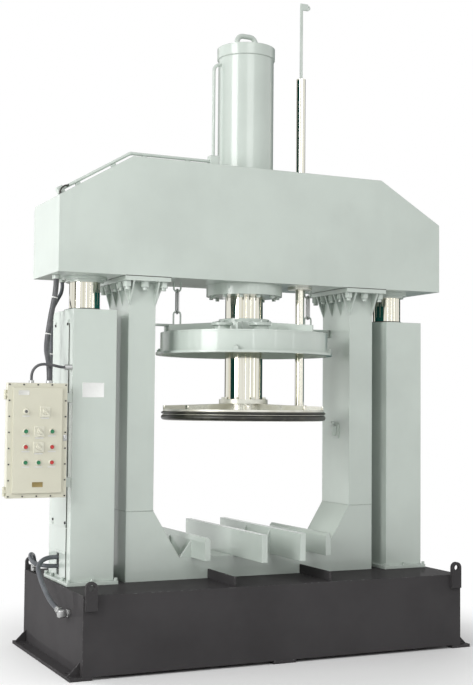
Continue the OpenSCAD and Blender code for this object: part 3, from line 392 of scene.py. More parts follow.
@dataclass(frozen=True)
class Turned(Finish):
    """Bare turned steel with tool rings about the machine's axis."""

    colour: Colour = (0.74, 0.74, 0.67)
    rough: float = 0.24

    def draw(self, shader: Shader) -> bpy.types.Material:
        """Tool rings, handling stains and edges polished bright.

        Args:
            shader: the empty material to draw in.

        Returns:
            The finished material.
        """
        rings = shader.math("SINE", shader.radius() * 5200.0) * 0.5 + 0.5
        stain = shader.step(shader.noise(7.0, 5.0), 0.4, 0.72)
        tone = shader.mix(stain * 0.5, self.colour, scaled(self.colour, 0.62, 0.58, 0.47))
        rounded = shader.rounded(0.003)
        bright = shader.step(shader.edge(rounded), 0.02, 0.25)
        tone = shader.mix(bright * 0.5, tone, (0.72, 0.72, 0.68))
        gloss = self.rough + stain * 0.14 + rings * 0.05
        normal = shader.relief(rings * 0.5 + shader.noise(340.0, 2.0), 0.00003, rounded)
        return shader.surface(Base_Color=tone, Metallic=0.5, Roughness=gloss, Normal=normal)


@dataclass(frozen=True)
class Plated(Finish):
    """Zinc plated steel of bolts and fittings, slightly spangled."""

    colour: Colour = (0.45, 0.455, 0.45)
    rough: float = 0.3

    def draw(self, shader: Shader) -> bpy.types.Material:
        """Spangle, dull spots and painted shade in corners.

        Args:
            shader: the empty material to draw in.

        Returns:
            The finished material.
        """
        spangle = self.cells(shader)
        dull = shader.step(shader.noise(60.0, 4.0), 0.45, 0.7)
        tone = shader.mix(spangle * 0.4, self.colour, scaled(self.colour, 1.25))
        # Darker in corners by ambient occlusion: painted shade.
        crevice_shade = shader.step(shader.crevice(0.012), 0.3, 0.9)
        tone = shader.mix(crevice_shade * 0.6, tone, scaled(self.colour, 0.3))
        rounded = shader.rounded(0.0015)
        return shader.surface(Base_Color=tone, Metallic=0.9, Roughness=self.rough + dull * 0.16,
                              Normal=shader.relief(spangle, 0.00002, rounded))

    def cells(self, shader: Shader) -> Field:
        """Cells of the zinc, a few millimetres wide."""
        made = shader.node("ShaderNodeTexVoronoi", None, {"Vector": shader.place, "Scale": 300.0})
        return shader.step(shader.part(shader.out(made, "Color"), 0), 0.1, 0.9)


@dataclass(frozen=True)
class Rubber(Finish):
    """Black moulded rubber or a cable's sheath, with bloom in patches and fine grain."""

    colour: Colour = (0.02, 0.02, 0.02)
    rough: float = 0.5
    bloom: Colour = (0.09, 0.09, 0.085)
    grain: float = 420.0

    def draw(self, shader: Shader) -> bpy.types.Material:
        """Grain, bloom and scuffs.

        Args:
            shader: the empty material to draw in.

        Returns:
            The finished material.
        """
        haze = shader.step(shader.noise(14.0, 5.0), 0.44, 0.74)
        scuff = shader.step(shader.noise(90.0, 3.0), 0.62, 0.74)
        tone = shader.mix(haze * 0.55 + scuff * 0.2, self.colour, self.bloom)
        normal = shader.relief(shader.noise(self.grain, 3.0), 0.00006)
        return shader.surface(Base_Color=tone, Roughness=self.rough + haze * 0.18, Normal=normal)


@dataclass(frozen=True)
class Plastic(Finish):
    """Moulded plastic of controls and ties, with a fine spark-eroded grain."""

    colour: Colour = (0.75, 0.75, 0.72)
    rough: float = 0.36
    # Share of handling dirt, and with 0.2 more, of painted shade in crevices.
    soil_and_shade: float = 0.2

    def draw(self, shader: Shader) -> bpy.types.Material:
        """Grain, handling dirt and painted shade in crevices.

        Args:
            shader: the empty material to draw in.

        Returns:
            The finished material.
        """
        dirt = shader.step(shader.noise(70.0, 4.0), 0.48, 0.75) * self.soil_and_shade
        # Darker in crevices by ambient occlusion: painted shade.
        crevice_shade = shader.step(shader.crevice(0.006), 0.3, 0.9) * (self.soil_and_shade + 0.2)
        tone = shader.mix(dirt + crevice_shade, self.colour, scaled(self.colour, 0.5))
        normal = shader.relief(shader.noise(1500.0, 2.0), 0.00002, shader.rounded(0.0008))
        return shader.surface(Base_Color=tone, Roughness=self.rough + dirt * 0.5, Normal=normal,
                              Coat_Weight=0.15)


@dataclass(frozen=True)
class Engraved(Finish):
    """Brushed bare plate, as left by a grinding belt."""

    colour: Colour = (0.6, 0.6, 0.58)
    metal: float = 0.7
    rough: float = 0.34

    def draw(self, shader: Shader) -> bpy.types.Material:
        """Belt lines across the plate and a few stains.

        Args:
            shader: the empty material to draw in.

        Returns:
            The finished material.
        """
        lines = shader.noise(60.0, 4.0, (1.0, 1.0, 26.0))
        stain = shader.step(shader.noise(22.0, 4.0), 0.5, 0.75)
        tone = shader.mix(lines * 0.4 + stain * 0.25, self.colour, scaled(self.colour, 0.7))
        return shader.surface(Base_Color=tone, Metallic=self.metal, Roughness=self.rough + lines * 0.12,
                              Normal=shader.relief(lines, 0.00003, shader.rounded(0.001)))


@dataclass(frozen=True)
class Weld(Finish):
    """Painted weld bead with close ripples."""

    colour: Colour = (0.5, 0.52, 0.5)

    def draw(self, shader: Shader) -> bpy.types.Material:
        """Ripples under the paint, the colour darker where they are low.

        Args:
            shader: the empty material to draw in.

        Returns:
            The finished material.
        """
        ripples = shader.noise(150.0, 3.0)
        # Darker where the ripples are low.
        tone = shader.mix(shader.step(ripples, 0.4, 0.75), scaled(self.colour, 0.72), self.colour)
        return shader.surface(Base_Color=tone, Roughness=0.36 + ripples * 0.15,
                              Normal=shader.relief(ripples, 0.003), Coat_Weight=0.2, Coat_Roughness=0.15)


FRAME_COLOUR: Colour = (0.53, 0.59, 0.542)


class Finishes(Enum):
    """The finishes of the machine."""

    FRAME = Paint("frame_paint", FRAME_COLOUR, wear_and_highlight=0.35, coat=0.6)
    BASE = Paint("base_paint", (0.055, 0.0525, 0.054), rough=0.3, cloud=0.12, grime_and_shade=0.1, wear_and_highlight=0.5, coat=0.1,
                 shine=0.0)
    BOX = Paint("box_paint", (0.62, 0.61, 0.495), rough=0.3, cloud=0.03, grime_and_shade=0.2, wear_and_highlight=0.1)
    CHROME = Chrome("hard_chrome")
    STEEL = Turned("turned_steel")
    ZINC = Plated("zinc_plating")
    SEAL = Rubber("seal_rubber", (0.016, 0.016, 0.011), 0.34, (0.09, 0.088, 0.065))
    HOSE = Rubber("hose_rubber", (0.075, 0.082, 0.092), 0.38, (0.2, 0.21, 0.225))
    SHEATH = Rubber("cable_sheath", (0.06, 0.062, 0.066), 0.4, (0.16, 0.16, 0.165), 240.0)
    PANEL = Plastic("panel_plastic", (0.7, 0.69, 0.58))
    GREEN = Plastic("button_green", (0.012, 0.19, 0.075), 0.28)
    RED = Plastic("button_red", (0.5, 0.03, 0.025), 0.28)
    LENS = Plastic("lamp_lens", (0.1, 0.1, 0.1), 0.12, 0.1)
    BLACK = Plastic("black_screw", (0.025, 0.025, 0.026), 0.4, 0.1)
    TIE = Plastic("tie_nylon", (0.8, 0.8, 0.78), 0.42)
    LABEL = Engraved("bare_label", (0.7, 0.7, 0.66), 0.1, 0.4)
    BRASS = Engraved("bare_brass", (0.3, 0.235, 0.1), 0.8)
    ENAMEL = Engraved("white_enamel", (0.86, 0.87, 0.85), 0.0, 0.3)
    WELD = Weld("weld_bead", FRAME_COLOUR)

    def material(self) -> bpy.types.Material:
        """The finish's material."""
        return self.value.material()


SLOTS: dict[str, Finishes] = {
    "frame_paint": Finishes.FRAME, "base_paint": Finishes.BASE, "box_paint": Finishes.BOX,
    "hard_chrome": Finishes.CHROME, "bare_steel": Finishes.STEEL, "zinc_steel": Finishes.ZINC,
    "seal_rubber": Finishes.SEAL, "hose_rubber": Finishes.HOSE, "cable_sheath": Finishes.SHEATH,
    "panel_plastic": Finishes.PANEL, "button_green": Finishes.GREEN, "button_red": Finishes.RED,
    "lamp_lens": Finishes.LENS,
}

OWN: dict[str, Finishes] = {
    "frame_bolts": Finishes.FRAME, "frame_electrics": Finishes.FRAME, "door_screws": Finishes.BLACK,
    # lift_cylinders take the black base paint so that the slot into the left column shows dark: painted shade
    # inside the column.
    "indicator_bar": Finishes.FRAME, "lift_cylinders": Finishes.BASE,
}


# Modelling


class Bench:
    """Blender's own modelling tools, used on one piece at a time."""

    @staticmethod
    def only(*pieces: bpy.types.Object) -> None:
        """Select these pieces alone, the first one active.

        Args:
            pieces: the pieces, or none to deselect everything.
        """
        if bpy.context.mode != "OBJECT":
            bpy.ops.object.mode_set(mode="OBJECT")
        bpy.ops.object.select_all(action="DESELECT")
        for piece in pieces:
            piece.select_set(True)
        bpy.context.view_layer.objects.active = pieces[0] if pieces else None

    @classmethod
    def settle(cls, name: str) -> bpy.types.Object:
        """Name the active piece and put its place into its mesh.

        Args:
            name: the piece's name.

        Returns:
            The piece, at the origin, unturned and unscaled.
        """
        piece = bpy.context.active_object
        cls.only(piece)
        bpy.ops.object.transform_apply(location=True, rotation=True, scale=True)
        piece.name = piece.data.name = name
        return piece

    @classmethod
    def apply(cls, piece: bpy.types.Object) -> None:
        """Apply the piece's modifiers in their order.

        Args:
            piece: the piece.
        """
        cls.only(piece)
        for modifier in list(piece.modifiers):
            bpy.ops.object.modifier_apply(modifier=modifier.name)

    @classmethod
    def soften(cls, piece: bpy.types.Object, width: float, segments: int = 2, angle: float = 35.0) -> None:
        """Round the piece's sharp edges with a Bevel modifier.

        Args:
            piece: the piece.
            width: the bevel's width.
            segments: its steps.
            angle: edges sharper than this many degrees are rounded.
        """
        edge = piece.modifiers.new("edge", "BEVEL")
        edge.width, edge.segments = width, segments
        edge.limit_method, edge.angle_limit = "ANGLE", math.radians(angle)
        cls.apply(piece)
        cls.smooth(piece)

    @classmethod
    def smooth(cls, piece: bpy.types.Object, angle: float = 35.0) -> None:
        """Shade the piece smooth except over sharp edges."""
        cls.only(piece)
        bpy.ops.object.shade_smooth_by_angle(angle=math.radians(angle))

    @classmethod
    def pick(cls, piece: bpy.types.Object, test: Callable[[bmesh.types.BMFace], bool]) -> None:
        """Enter edit mode with only the faces that a test takes selected.

        Args:
            piece: the piece to edit.
            test: takes a face, tells if it is picked.
        """
        cls.only(piece)
        bpy.ops.object.mode_set(mode="EDIT")
        bpy.ops.mesh.select_mode(type="FACE")
        bpy.ops.mesh.select_all(action="DESELECT")
        mesh = bmesh.from_edit_mesh(piece.data)
        for face in mesh.faces:
            face.select_set(bool(test(face)))
        bmesh.update_edit_mesh(piece.data)

    @staticmethod
    def front(face: bmesh.types.BMFace) -> bool:
        """Whether a face looks to the front."""
        return face.normal.y < -0.9

    @classmethod
    def sink(cls, piece: bpy.types.Object, *steps: tuple[float, float]) -> None:
        """Inset a piece's front face and push it back, once for each step.

        Args:
            piece: the piece.
            steps: each border's width and how far the face within it goes back.
        """
        cls.pick(piece, cls.front)
        for border, back in steps:
            bpy.ops.mesh.inset(thickness=border)
            bpy.ops.mesh.extrude_region_move(TRANSFORM_OT_translate={"value": (0.0, back, 0.0)})
        bpy.ops.object.mode_set(mode="OBJECT")

    @classmethod
    def block(cls, name: str, low: Point, high: Point, edge: float = 0.0) -> bpy.types.Object:
        """A block between two corners.

        Args:
            name: the piece's name.
            low: its lowest corner.
            high: its highest corner.
            edge: width of its rounded edges.

        Returns:
            The piece.
        """
        cls.only()
        middle = [(a + b) / 2 for a, b in zip(low, high)]
        bpy.ops.mesh.primitive_cube_add(size=1.0, location=middle)
        bpy.context.active_object.scale = [b - a for a, b in zip(low, high)]
        piece = cls.settle(name)
        if edge:
            cls.soften(piece, edge)
        return piece

    @classmethod
    def lathe(cls, name: str, profile: Profile, place: Point = (0.0, 0.0, 0.0),
              axis: Axis | Vector = Axis.UP, steps: int = 32) -> bpy.types.Object:
        """Spin a profile about an axis.

        Args:
            name: the piece's name.
            profile: radius and height of its points; a ring's profile ends where it starts.
            place: where height 0 lies.
            axis: the direction of height.
            steps: sides of the round.

        Returns:
            The piece.
        """
        cls.only()
        bpy.ops.mesh.primitive_plane_add(size=0.01)
        piece = bpy.context.active_object
        bpy.ops.object.mode_set(mode="EDIT")
        bpy.ops.mesh.select_mode(type="VERT")
        bpy.ops.mesh.select_all(action="SELECT")
        bpy.ops.mesh.merge(type="CENTER")
        bpy.ops.transform.translate(value=(profile[0][0], 0.0, profile[0][1]))
        for here, there in zip(profile, profile[1:]):
            step = (there[0] - here[0], 0.0, there[1] - here[1])
            bpy.ops.mesh.extrude_vertices_move(TRANSFORM_OT_translate={"value": step})
        bpy.ops.mesh.select_all(action="SELECT")
        bpy.ops.mesh.spin(steps=steps, angle=math.tau, center=(0.0, 0.0, 0.0), axis=(0.0, 0.0, 1.0))
        bpy.ops.mesh.select_all(action="SELECT")
        bpy.ops.mesh.remove_doubles(threshold=1e-6)
        bpy.ops.mesh.normals_make_consistent(inside=False)
        bpy.ops.object.mode_set(mode="OBJECT")
        way = axis if isinstance(axis, Vector) else Vector(axis.value)
        piece.location = place
        piece.rotation_euler = way.to_track_quat("Z", "Y").to_euler()
        made = cls.settle(name)
        cls.smooth(made)
        return made

    @classmethod
    def path(cls, name: str, lines: Iterable[Sequence[Point]], radius: float, rounds: int,
             closed: bool = False) -> bpy.types.Object:
        """Round rods along lines, as one mesh.

        Args:
            name: the piece's name.
            lines: the points of each rod.
            radius: the rods' radius.
            rounds: how finely their section is rounded.
            closed: whether each rod ends where it starts.

        Returns:
            The piece.
        """
        data = bpy.data.curves.new(name, "CURVE")
        data.dimensions = "3D"
        for points in lines:
            spline = data.splines.new("POLY")
            spline.points.add(len(points) - 1)
            for point, place in zip(spline.points, points):
                point.co = (*place, 1.0)
            spline.use_cyclic_u = closed
        data.bevel_depth, data.bevel_resolution, data.use_fill_caps = radius, rounds, True
        piece = bpy.data.objects.new(name, data)
        bpy.context.scene.collection.objects.link(piece)
        cls.only(piece)
        bpy.ops.object.convert(target="MESH")
        return cls.settle(name)

    @classmethod
    def join(cls, name: str, pieces: Sequence[bpy.types.Object]) -> bpy.types.Object:
        """Join pieces into one of that name.

        Args:
            name: the joined piece's name.
            pieces: what is joined.

        Returns:
            The joined piece.
        """
        cls.only(*pieces)
        if len(pieces) > 1:
            bpy.ops.object.join()
        return cls.settle(name)

    @classmethod
    def spread(cls, name: str, pattern: bpy.types.Object, moves: Iterable[Matrix]) -> bpy.types.Object:
        """Copy a pattern to each place, each copy with its own mesh, and join the copies.

        Args:
            name: the piece's name.
            pattern: what repeats; it is used up.
            moves: where each copy goes from the pattern's place.

        Returns:
            The joined piece.
        """
        made = []
        for move in moves:
            twin = pattern.copy()
            twin.data = pattern.data.copy()
            twin.data.transform(move)
            bpy.context.scene.collection.objects.link(twin)
            made.append(twin)
        bpy.data.objects.remove(pattern)
        return cls.join(name, made)

    @classmethod
    def bolt(cls, name: str, across: float, height: float) -> bpy.types.Object:
        """A hexagon bolt head on a washer, standing on the origin along +Z.

        Args:
            name: the piece's name.
            across: width over the head's corners.
            height: the head's height.

        Returns:
            The piece.
        """
        washer = height * 0.22
        rim = across * 0.62
        plate = cls.lathe(name + "_washer", [(0.0, 0.0), (rim, 0.0), (rim, washer), (0.0, washer)], steps=20)
        cls.only()
        bpy.ops.mesh.primitive_cylinder_add(vertices=6, radius=across / 2, depth=height,
                                            location=(0.0, 0.0, washer + height / 2))
        head = cls.settle(name + "_head")
        cls.pick(head, lambda face: face.normal.z > 0.9)
        bpy.ops.mesh.inset(thickness=across * 0.07)
        bpy.ops.transform.translate(value=(0.0, 0.0, height * 0.1))
        bpy.ops.object.mode_set(mode="OBJECT")
        return cls.join(name, [head, plate])

    @staticmethod
    def dress(piece: bpy.types.Object, finish: Finishes, body: str | None, slot: str | None = None,
              stands_for: Sequence[str] = ()) -> bpy.types.Object:
        """Give a piece its finish, its body and the CAD nodes that it stands for.

        Args:
            piece: the piece.
            finish: its finish.
            body: the CAD body that it rides on, or None where it rides on none.
            slot: the record's material slot; not used.
            stands_for: CAD nodes that it replaces.

        Returns:
            The piece.
        """
        piece.data.materials.clear()
        piece.data.materials.append(finish.material())
        if body is not None:
            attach(piece, body)
        if stands_for:
            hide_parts(*stands_for)
        LOG.info("piece %s, %d faces", piece.name, len(piece.data.polygons))
        return piece


def around(radius: float, count: int, height: float, start: float = 0.0) -> list[Matrix]:
    """Places on a circle about the machine's axis.

    Args:
        radius: the circle's radius.
        count: how many places.
        height: their height.
        start: the first one's angle in degrees.

    Returns:
        A move for each place.
    """
    turns = [math.radians(start + i * 360.0 / count) for i in range(count)]
    return [Matrix.Rotation(a, 4, "Z") @ Matrix.Translation((radius, 0.0, height)) for a in turns]


# Studio


@dataclass(frozen=True)
class Panel:
    """A flat thing of the studio: its place, what it faces and its size."""

    name: str
    place: Point
    aim: Point
    wide: float
    high: float

    def turn(self, front: str) -> Euler:
        """The turn that points one of its axes at what it faces."""
        return (Vector(self.aim) - Vector(self.place)).to_track_quat(front, "Y").to_euler()


@dataclass(frozen=True)
class Lamp(Panel):
    """A soft box or strip: its power and whether shiny surfaces show it."""

    power: float
    mirrored: bool = True


@dataclass(frozen=True)
class Flag(Panel):
    """A dark card that only shiny surfaces mirror, standing in for shaded surroundings as a painted reflection
    of shade, and its tone.
    """

    tone: Colour = (0.02, 0.13, 0.125)


@dataclass
class Studio:
    """Camera, soft light and pale floor."""

    eye: Point = (-3.7022, -7.8384, 1.6565)
    lens: float = 64.45
    tilt: float = 93.032
    heading: float = -24.942
    roll: float = 0.495
    sky: float = 0.46
    ground: float = 60.0
    fade: tuple[float, float] = (1.25, 2.7)
    lamps: Sequence[Lamp] = (
        Lamp("left_softbox", (-7.6, -2.6, 4.2), (-0.2, 0.0, 1.9), 3.4, 5.0, 385.0),
        Lamp("front_softbox", (-1.0, -9.0, 6.2), (0.0, 0.0, 2.0), 4.4, 4.4, 168.0),
        Lamp("right_softbox", (7.5, -4.0, 4.0), (0.0, 0.0, 2.6), 3.5, 3.5, 105.0, False),
        Lamp("rear_softbox", (-6.0, 5.5, 3.2), (0.6, 0.0, 1.7), 3.0, 4.0, 230.0, False),
        Lamp("near_strip", (-1.9, -8.4, 2.5), (0.0, 0.0, 2.4), 0.25, 1.6, 6.0),
        Lamp("middle_strip", (2.4, -8.0, 2.5), (0.0, 0.0, 2.4), 0.25, 1.6, 5.0),
        Lamp("side_strip", (5.6, -6.0, 2.5), (0.0, 0.0, 2.4), 0.3, 1.6, 4.2),
        Lamp("high_near_strip", (-0.6, -8.5, 5.9), (0.0, 0.0, 3.8), 0.1, 1.8, 0.45),
        Lamp("high_side_strip", (4.2, -7.2, 5.9), (0.0, 0.0, 3.8), 0.1, 1.8, 1.4),
    )
    # Dark cards by the legs' faces and beside the rods stand in for shaded faces in the mirror: painted
    # reflection of shade.
    cards: Sequence[Flag] = (
        Flag("right_flag", (4.1, 2.87, 3.95), (0.0, 0.0, 3.95), 5.2, 4.9, (0.02, 0.06, 0.06)),
        Flag("left_flag", (0.33, 4.75, 3.95), (0.0, 0.0, 3.95), 3.2, 4.9, (0.1, 0.1, 0.085)),
        Flag("left_inner_flag", (-0.742, 0.0, 2.09), (0.0, 0.0, 2.09), 0.38, 0.78),
        Flag("left_outer_flag", (-0.941, 0.0, 2.3), (-1.18, 0.0, 2.3), 0.38, 0.36),
        Flag("right_inner_flag", (0.742, 0.0, 2.09), (0.0, 0.0, 2.09), 0.38, 0.78),
        Flag("right_outer_flag", (0.941, 0.0, 2.3), (1.18, 0.0, 2.3), 0.38, 0.36),
        Flag("guide_flag", (0.344, -0.08, 3.69), (0.404, -0.08, 3.69), 0.075, 0.68, (0.014, 0.1, 0.092)),
    )

    def camera(self) -> None:
        """The photograph's camera."""
        data = bpy.data.cameras.new("camera")
        data.lens, data.sensor_width = self.lens, 36.0
        data.clip_start, data.clip_end = 0.1, 200.0
        eye = bpy.data.objects.new("camera", data)
        turn = Euler((math.radians(self.tilt), 0.0, math.radians(self.heading)), "XYZ").to_matrix()
        turn = turn @ Matrix.Rotation(math.radians(self.roll), 3, "Z")
        eye.matrix_world = Matrix.Translation(self.eye) @ turn.to_4x4()
        bpy.context.scene.collection.objects.link(eye)
        bpy.context.scene.camera = eye

    def light(self) -> None:
        """Soft boxes and strips."""
        for lamp in self.lamps:
            data = bpy.data.lights.new(lamp.name, "AREA")
            data.shape, data.size, data.size_y, data.energy = "RECTANGLE", lamp.wide, lamp.high, lamp.power
            made = bpy.data.objects.new(lamp.name, data)
            made.location, made.visible_glossy = lamp.place, lamp.mirrored
            made.rotation_euler = lamp.turn("-Z")
            bpy.context.scene.collection.objects.link(made)

    def room(self) -> None:
        """An even white room, dimmer as light than as it is seen or mirrored."""
        world = bpy.data.worlds.new("room")
        world.use_nodes = True
        bpy.context.scene.world = world
        tree = world.node_tree
        tree.nodes.clear()
        rays = tree.nodes.new("ShaderNodeLightPath")
        seen = rays.outputs["Is Camera Ray"]
        for ray in ("Is Glossy Ray", "Is Transmission Ray"):
            either = tree.nodes.new("ShaderNodeMath")
            either.operation = "MAXIMUM"
            tree.links.new(seen, either.inputs[0])
            tree.links.new(rays.outputs[ray], either.inputs[1])
            seen = either.outputs[0]
        both = tree.nodes.new("ShaderNodeMixShader")
        tree.links.new(seen, both.inputs[0])
        for place, strength in enumerate((self.sky, 1.0), 1):
            back = tree.nodes.new("ShaderNodeBackground")
            back.inputs["Color"].default_value = (1.0, 1.0, 1.0, 1.0)
            back.inputs["Strength"].default_value = strength
            tree.links.new(back.outputs[0], both.inputs[place])
        out = tree.nodes.new("ShaderNodeOutputWorld")
        tree.links.new(both.outputs[0], out.inputs["Surface"])

    def floor(self) -> None:
        """A pale floor that keeps the shadow and fades into the white room."""
        Bench.only()
        bpy.ops.mesh.primitive_plane_add(size=self.ground, location=(0.0, 0.0, -0.001))
        plane = Bench.settle("floor")
        shader = Shader("pale_floor")
        near = shader.node("ShaderNodeBsdfDiffuse", None, {"Color": (0.9, 0.9, 0.9, 1.0)})
        white = shader.node("ShaderNodeEmission", None, {"Color": (1.0, 1.0, 1.0, 1.0), "Strength": 1.0})
        rays = shader.node("ShaderNodeLightPath")
        seen = shader.math("MAXIMUM", shader.out(rays, "Is Camera Ray"), shader.out(rays, "Is Glossy Ray"))
        share = shader.step(shader.radius(), *self.fade) * seen
        plane.data.materials.append(shader.either(share, near, white))

    def flags(self) -> None:
        """Dark cards that only shiny surfaces mirror, and only from their front: painted reflections of shaded
        surroundings.
        """
        for flag in self.cards:
            Bench.only()
            bpy.ops.mesh.primitive_plane_add(size=1.0)
            card = bpy.context.active_object
            card.scale = (flag.wide, flag.high, 1.0)
            card.location, card.rotation_euler = flag.place, flag.turn("Z")
            card = Bench.settle(flag.name)
            shader = Shader(flag.name)
            tone = shader.mix(shader.noise(2.0, 3.0), flag.tone, scaled(flag.tone, 0.8))
            front = shader.node("ShaderNodeBsdfDiffuse", None, {"Color": tone})
            back = shader.node("ShaderNodeBsdfTransparent")
            behind = shader.out(shader.node("ShaderNodeNewGeometry"), "Backfacing")
            card.data.materials.append(shader.either(behind, front, back))
            card.visible_camera = card.visible_diffuse = False
            card.visible_shadow = card.visible_transmission = False

    def build(self) -> None:
        """Set up the whole studio."""
        bpy.context.scene.view_settings.view_transform = "Standard"
        self.camera()
        self.light()
        self.room()
        self.floor()
        self.flags()


# Cords


@dataclass
class CordRun:
    """One free cable or hose: its CAD node, thickness, finish and route in millimetres, top or exit first."""

    node: str
    thick: float
    finish: Finishes
    slot: str
    stiffness: str
    moving: bool
    route: Sequence[tuple[int, int, int]]
    ties: Sequence[int] = ()
    fine: int = 7
    band: Profile = (
        (-0.001, -0.0035), (0.0016, -0.0035), (0.0022, -0.002), (0.0022, 0.002), (0.0016, 0.0035),
        (-0.001, 0.0035), (-0.001, -0.0035))
    lock: tuple[Point, Point] = ((-0.004, -0.003, -0.005), (0.004, 0.003, 0.005))
    lock_out: float = 0.003
    lock_edge: float = 0.001

    def line(self) -> list[Vector]:
        """The route as a smooth line of close points, in metres.

        Returns:
            The points.
        """
        points = [Vector(p) / 1000.0 for p in self.route]
        last = len(points) - 1
        lean = [(points[min(i + 1, last)] - points[max(i - 1, 0)]) / (2.0 if 0 < i < last else 1.0)
                for i in range(last + 1)]
        line = [points[0]]
        for i in range(last):
            span = (points[i + 1] - points[i]).length
            start = points[i] + lean[i].normalized() * span / 3.0
            end = points[i + 1] - lean[i + 1].normalized() * span / 3.0
            line += interpolate_bezier(points[i], start, end, points[i + 1], self.fine)[1:]
        return line

    def tie(self, index: int, line: Sequence[Vector]) -> bpy.types.Object:
        """A nylon tie round the cord.

        Args:
            index: its place along the smooth line, in runs of as many points as a span is drawn with.
            line: the cord's smooth line.

        Returns:
            The tie: a band and its lock.
        """
        at = min(index * self.fine, len(line) - 2)
        way = (line[at + 1] - line[at - 1]).normalized()
        skin = self.thick / 2
        profile = [(skin + out, up) for out, up in self.band]
        band = Bench.lathe(f"{self.node}_tie_{index}", profile, line[at], way, 28)
        aside = way.orthogonal().normalized() * (skin + self.lock_out)
        lock = Bench.block("lock", *self.lock, self.lock_edge)
        turn = way.to_track_quat("Z", "Y").to_matrix().to_4x4()
        lock.data.transform(Matrix.Translation(line[at] + aside) @ turn)
        return Bench.join(band.name, [band, lock])

    def build(self) -> None:
        """Make the cord with its ties."""
        line = self.line()
        body = None if self.moving else "base"
        cord = Bench.path(self.node + "_cord", [line], self.thick / 2, 6)
        Bench.smooth(cord)
        pieces = [Bench.dress(cord, self.finish, body, self.slot, [self.node])]
        pieces += [Bench.dress(self.tie(i, line), Finishes.TIE, body) for i in self.ties]
        if self.moving:
            for piece in pieces:
                tuple(line[-1])
                tuple(line[0])
                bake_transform(piece)
        length = sum((b - a).length for a, b in zip(line, line[1:]))
        tuple(line[0])
        [tuple(p) for p in line]
        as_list(pieces[1:])


CORDS: Sequence[CordRun] = (
    CordRun("beam_cable", 0.036, Finishes.SHEATH, "cable_sheath", "medium", True,
            [(-1395, -60, 2490), (-1395, -60, 2455), (-1401, -60, 2390), (-1413, -60, 2320), (-1426, -60, 2250),
             (-1437, -60, 2180), (-1446, -60, 2115), (-1453, -67, 2065), (-1459, -87, 2020),
             (-1463, -115, 1988), (-1467, -148, 1962), (-1470, -177, 1931), (-1472, -196, 1892),
             (-1472, -205, 1846), (-1472, -205, 1818)], (2, 5)),
    CordRun("beam_hose", 0.025, Finishes.HOSE, "hose_rubber", "medium", True,
            [(-1290, 150, 2490), (-1290, 150, 2455), (-1300, 142, 2416), (-1325, 119, 2380), (-1350, 90, 2347),
             (-1375, 58, 2312), (-1393, 30, 2270), (-1402, 10, 2220), (-1405, 0, 2160), (-1406, -4, 2095),
             (-1406, -6, 2030), (-1406, -6, 1965), (-1406, -6, 1900), (-1406, -6, 1840), (-1406, -6, 1780)],
            (6, 9)),
    CordRun("box_conduit", 0.018, Finishes.SHEATH, "cable_sheath", "stiff", False,
            [(-1590, -205, 1818), (-1590, -205, 1832), (-1589, -206, 1854), (-1584, -209, 1875),
             (-1574, -215, 1894), (-1559, -222, 1909), (-1540, -229, 1918), (-1519, -233, 1921),
             (-1497, -233, 1921), (-1475, -231, 1919), (-1453, -226, 1916), (-1432, -221, 1912),
             (-1411, -216, 1908), (-1389, -214, 1906), (-1375, -214, 1906)]),
    CordRun("base_hose_front", 0.030, Finishes.HOSE, "hose_rubber", "stiff", False,
            [(-1327, 30, 664), (-1345, 30, 664), (-1385, 28, 662), (-1415, 20, 656), (-1442, 5, 645),
             (-1462, -13, 629), (-1476, -36, 612), (-1482, -61, 592), (-1482, -101, 557), (-1478, -141, 519),
             (-1471, -180, 482), (-1462, -221, 447), (-1452, -264, 418), (-1441, -311, 396),
             (-1436, -335, 387)]),
    CordRun("base_hose_rear", 0.028, Finishes.HOSE, "hose_rubber", "stiff", False,
            [(-1327, 30, 606), (-1345, 30, 606), (-1379, 33, 607), (-1411, 47, 609), (-1438, 70, 613),
             (-1456, 100, 618), (-1464, 133, 624), (-1462, 190, 635), (-1449, 257, 646), (-1431, 316, 651),
             (-1411, 368, 648), (-1390, 412, 639), (-1371, 452, 621), (-1361, 474, 601), (-1355, 488, 581)]),
)


# Sub-assemblies


@dataclass
class CoverHangers:
    """The two long links that hang the drum cover between its bows and the beam's."""

    across: float = 0.512
    low: float = 2.2955
    high: float = 2.4735
    wire: float = 0.015
    width: float = 0.05
    keep: float = 0.33

    def link(self) -> bpy.types.Object:
        """One link, upright in the YZ plane, its lowest point on the origin: a ring drawn out to its length.

        Returns:
            The link.
        """
        bend = (self.width - self.wire) / 2
        Bench.only()
        bpy.ops.mesh.primitive_torus_add(major_radius=bend, minor_radius=self.wire / 2, major_segments=32,
                                         minor_segments=14, rotation=(0.0, math.pi / 2, 0.0))
        link = Bench.settle("link")
        Bench.only(link)
        bpy.ops.object.mode_set(mode="EDIT")
        bpy.ops.mesh.select_mode(type="VERT")
        bpy.ops.mesh.select_all(action="DESELECT")
        mesh = bmesh.from_edit_mesh(link.data)
        for vertex in mesh.verts:
            vertex.select_set(vertex.co.z > 1e-5)
        bmesh.update_edit_mesh(link.data)
        bpy.ops.transform.translate(value=(0.0, 0.0, self.high - self.low - self.width))
        bpy.ops.object.mode_set(mode="OBJECT")
        link.data.transform(Matrix.Translation((0.0, 0.0, self.width / 2)))
        Bench.smooth(link, 60.0)
        return link

    def build(self) -> None:
        """Hang both links; they go slack as the cover rises."""
        for side, name in ((-1, "chain_left"), (1, "chain_right")):
            move = Matrix.Translation((side * self.across, 0.0, self.low))
            link = Bench.spread(name + "_link", self.link(), [move])
            Bench.dress(link, Finishes.ZINC, "press_frame", "zinc_steel", [name])
            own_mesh(link)


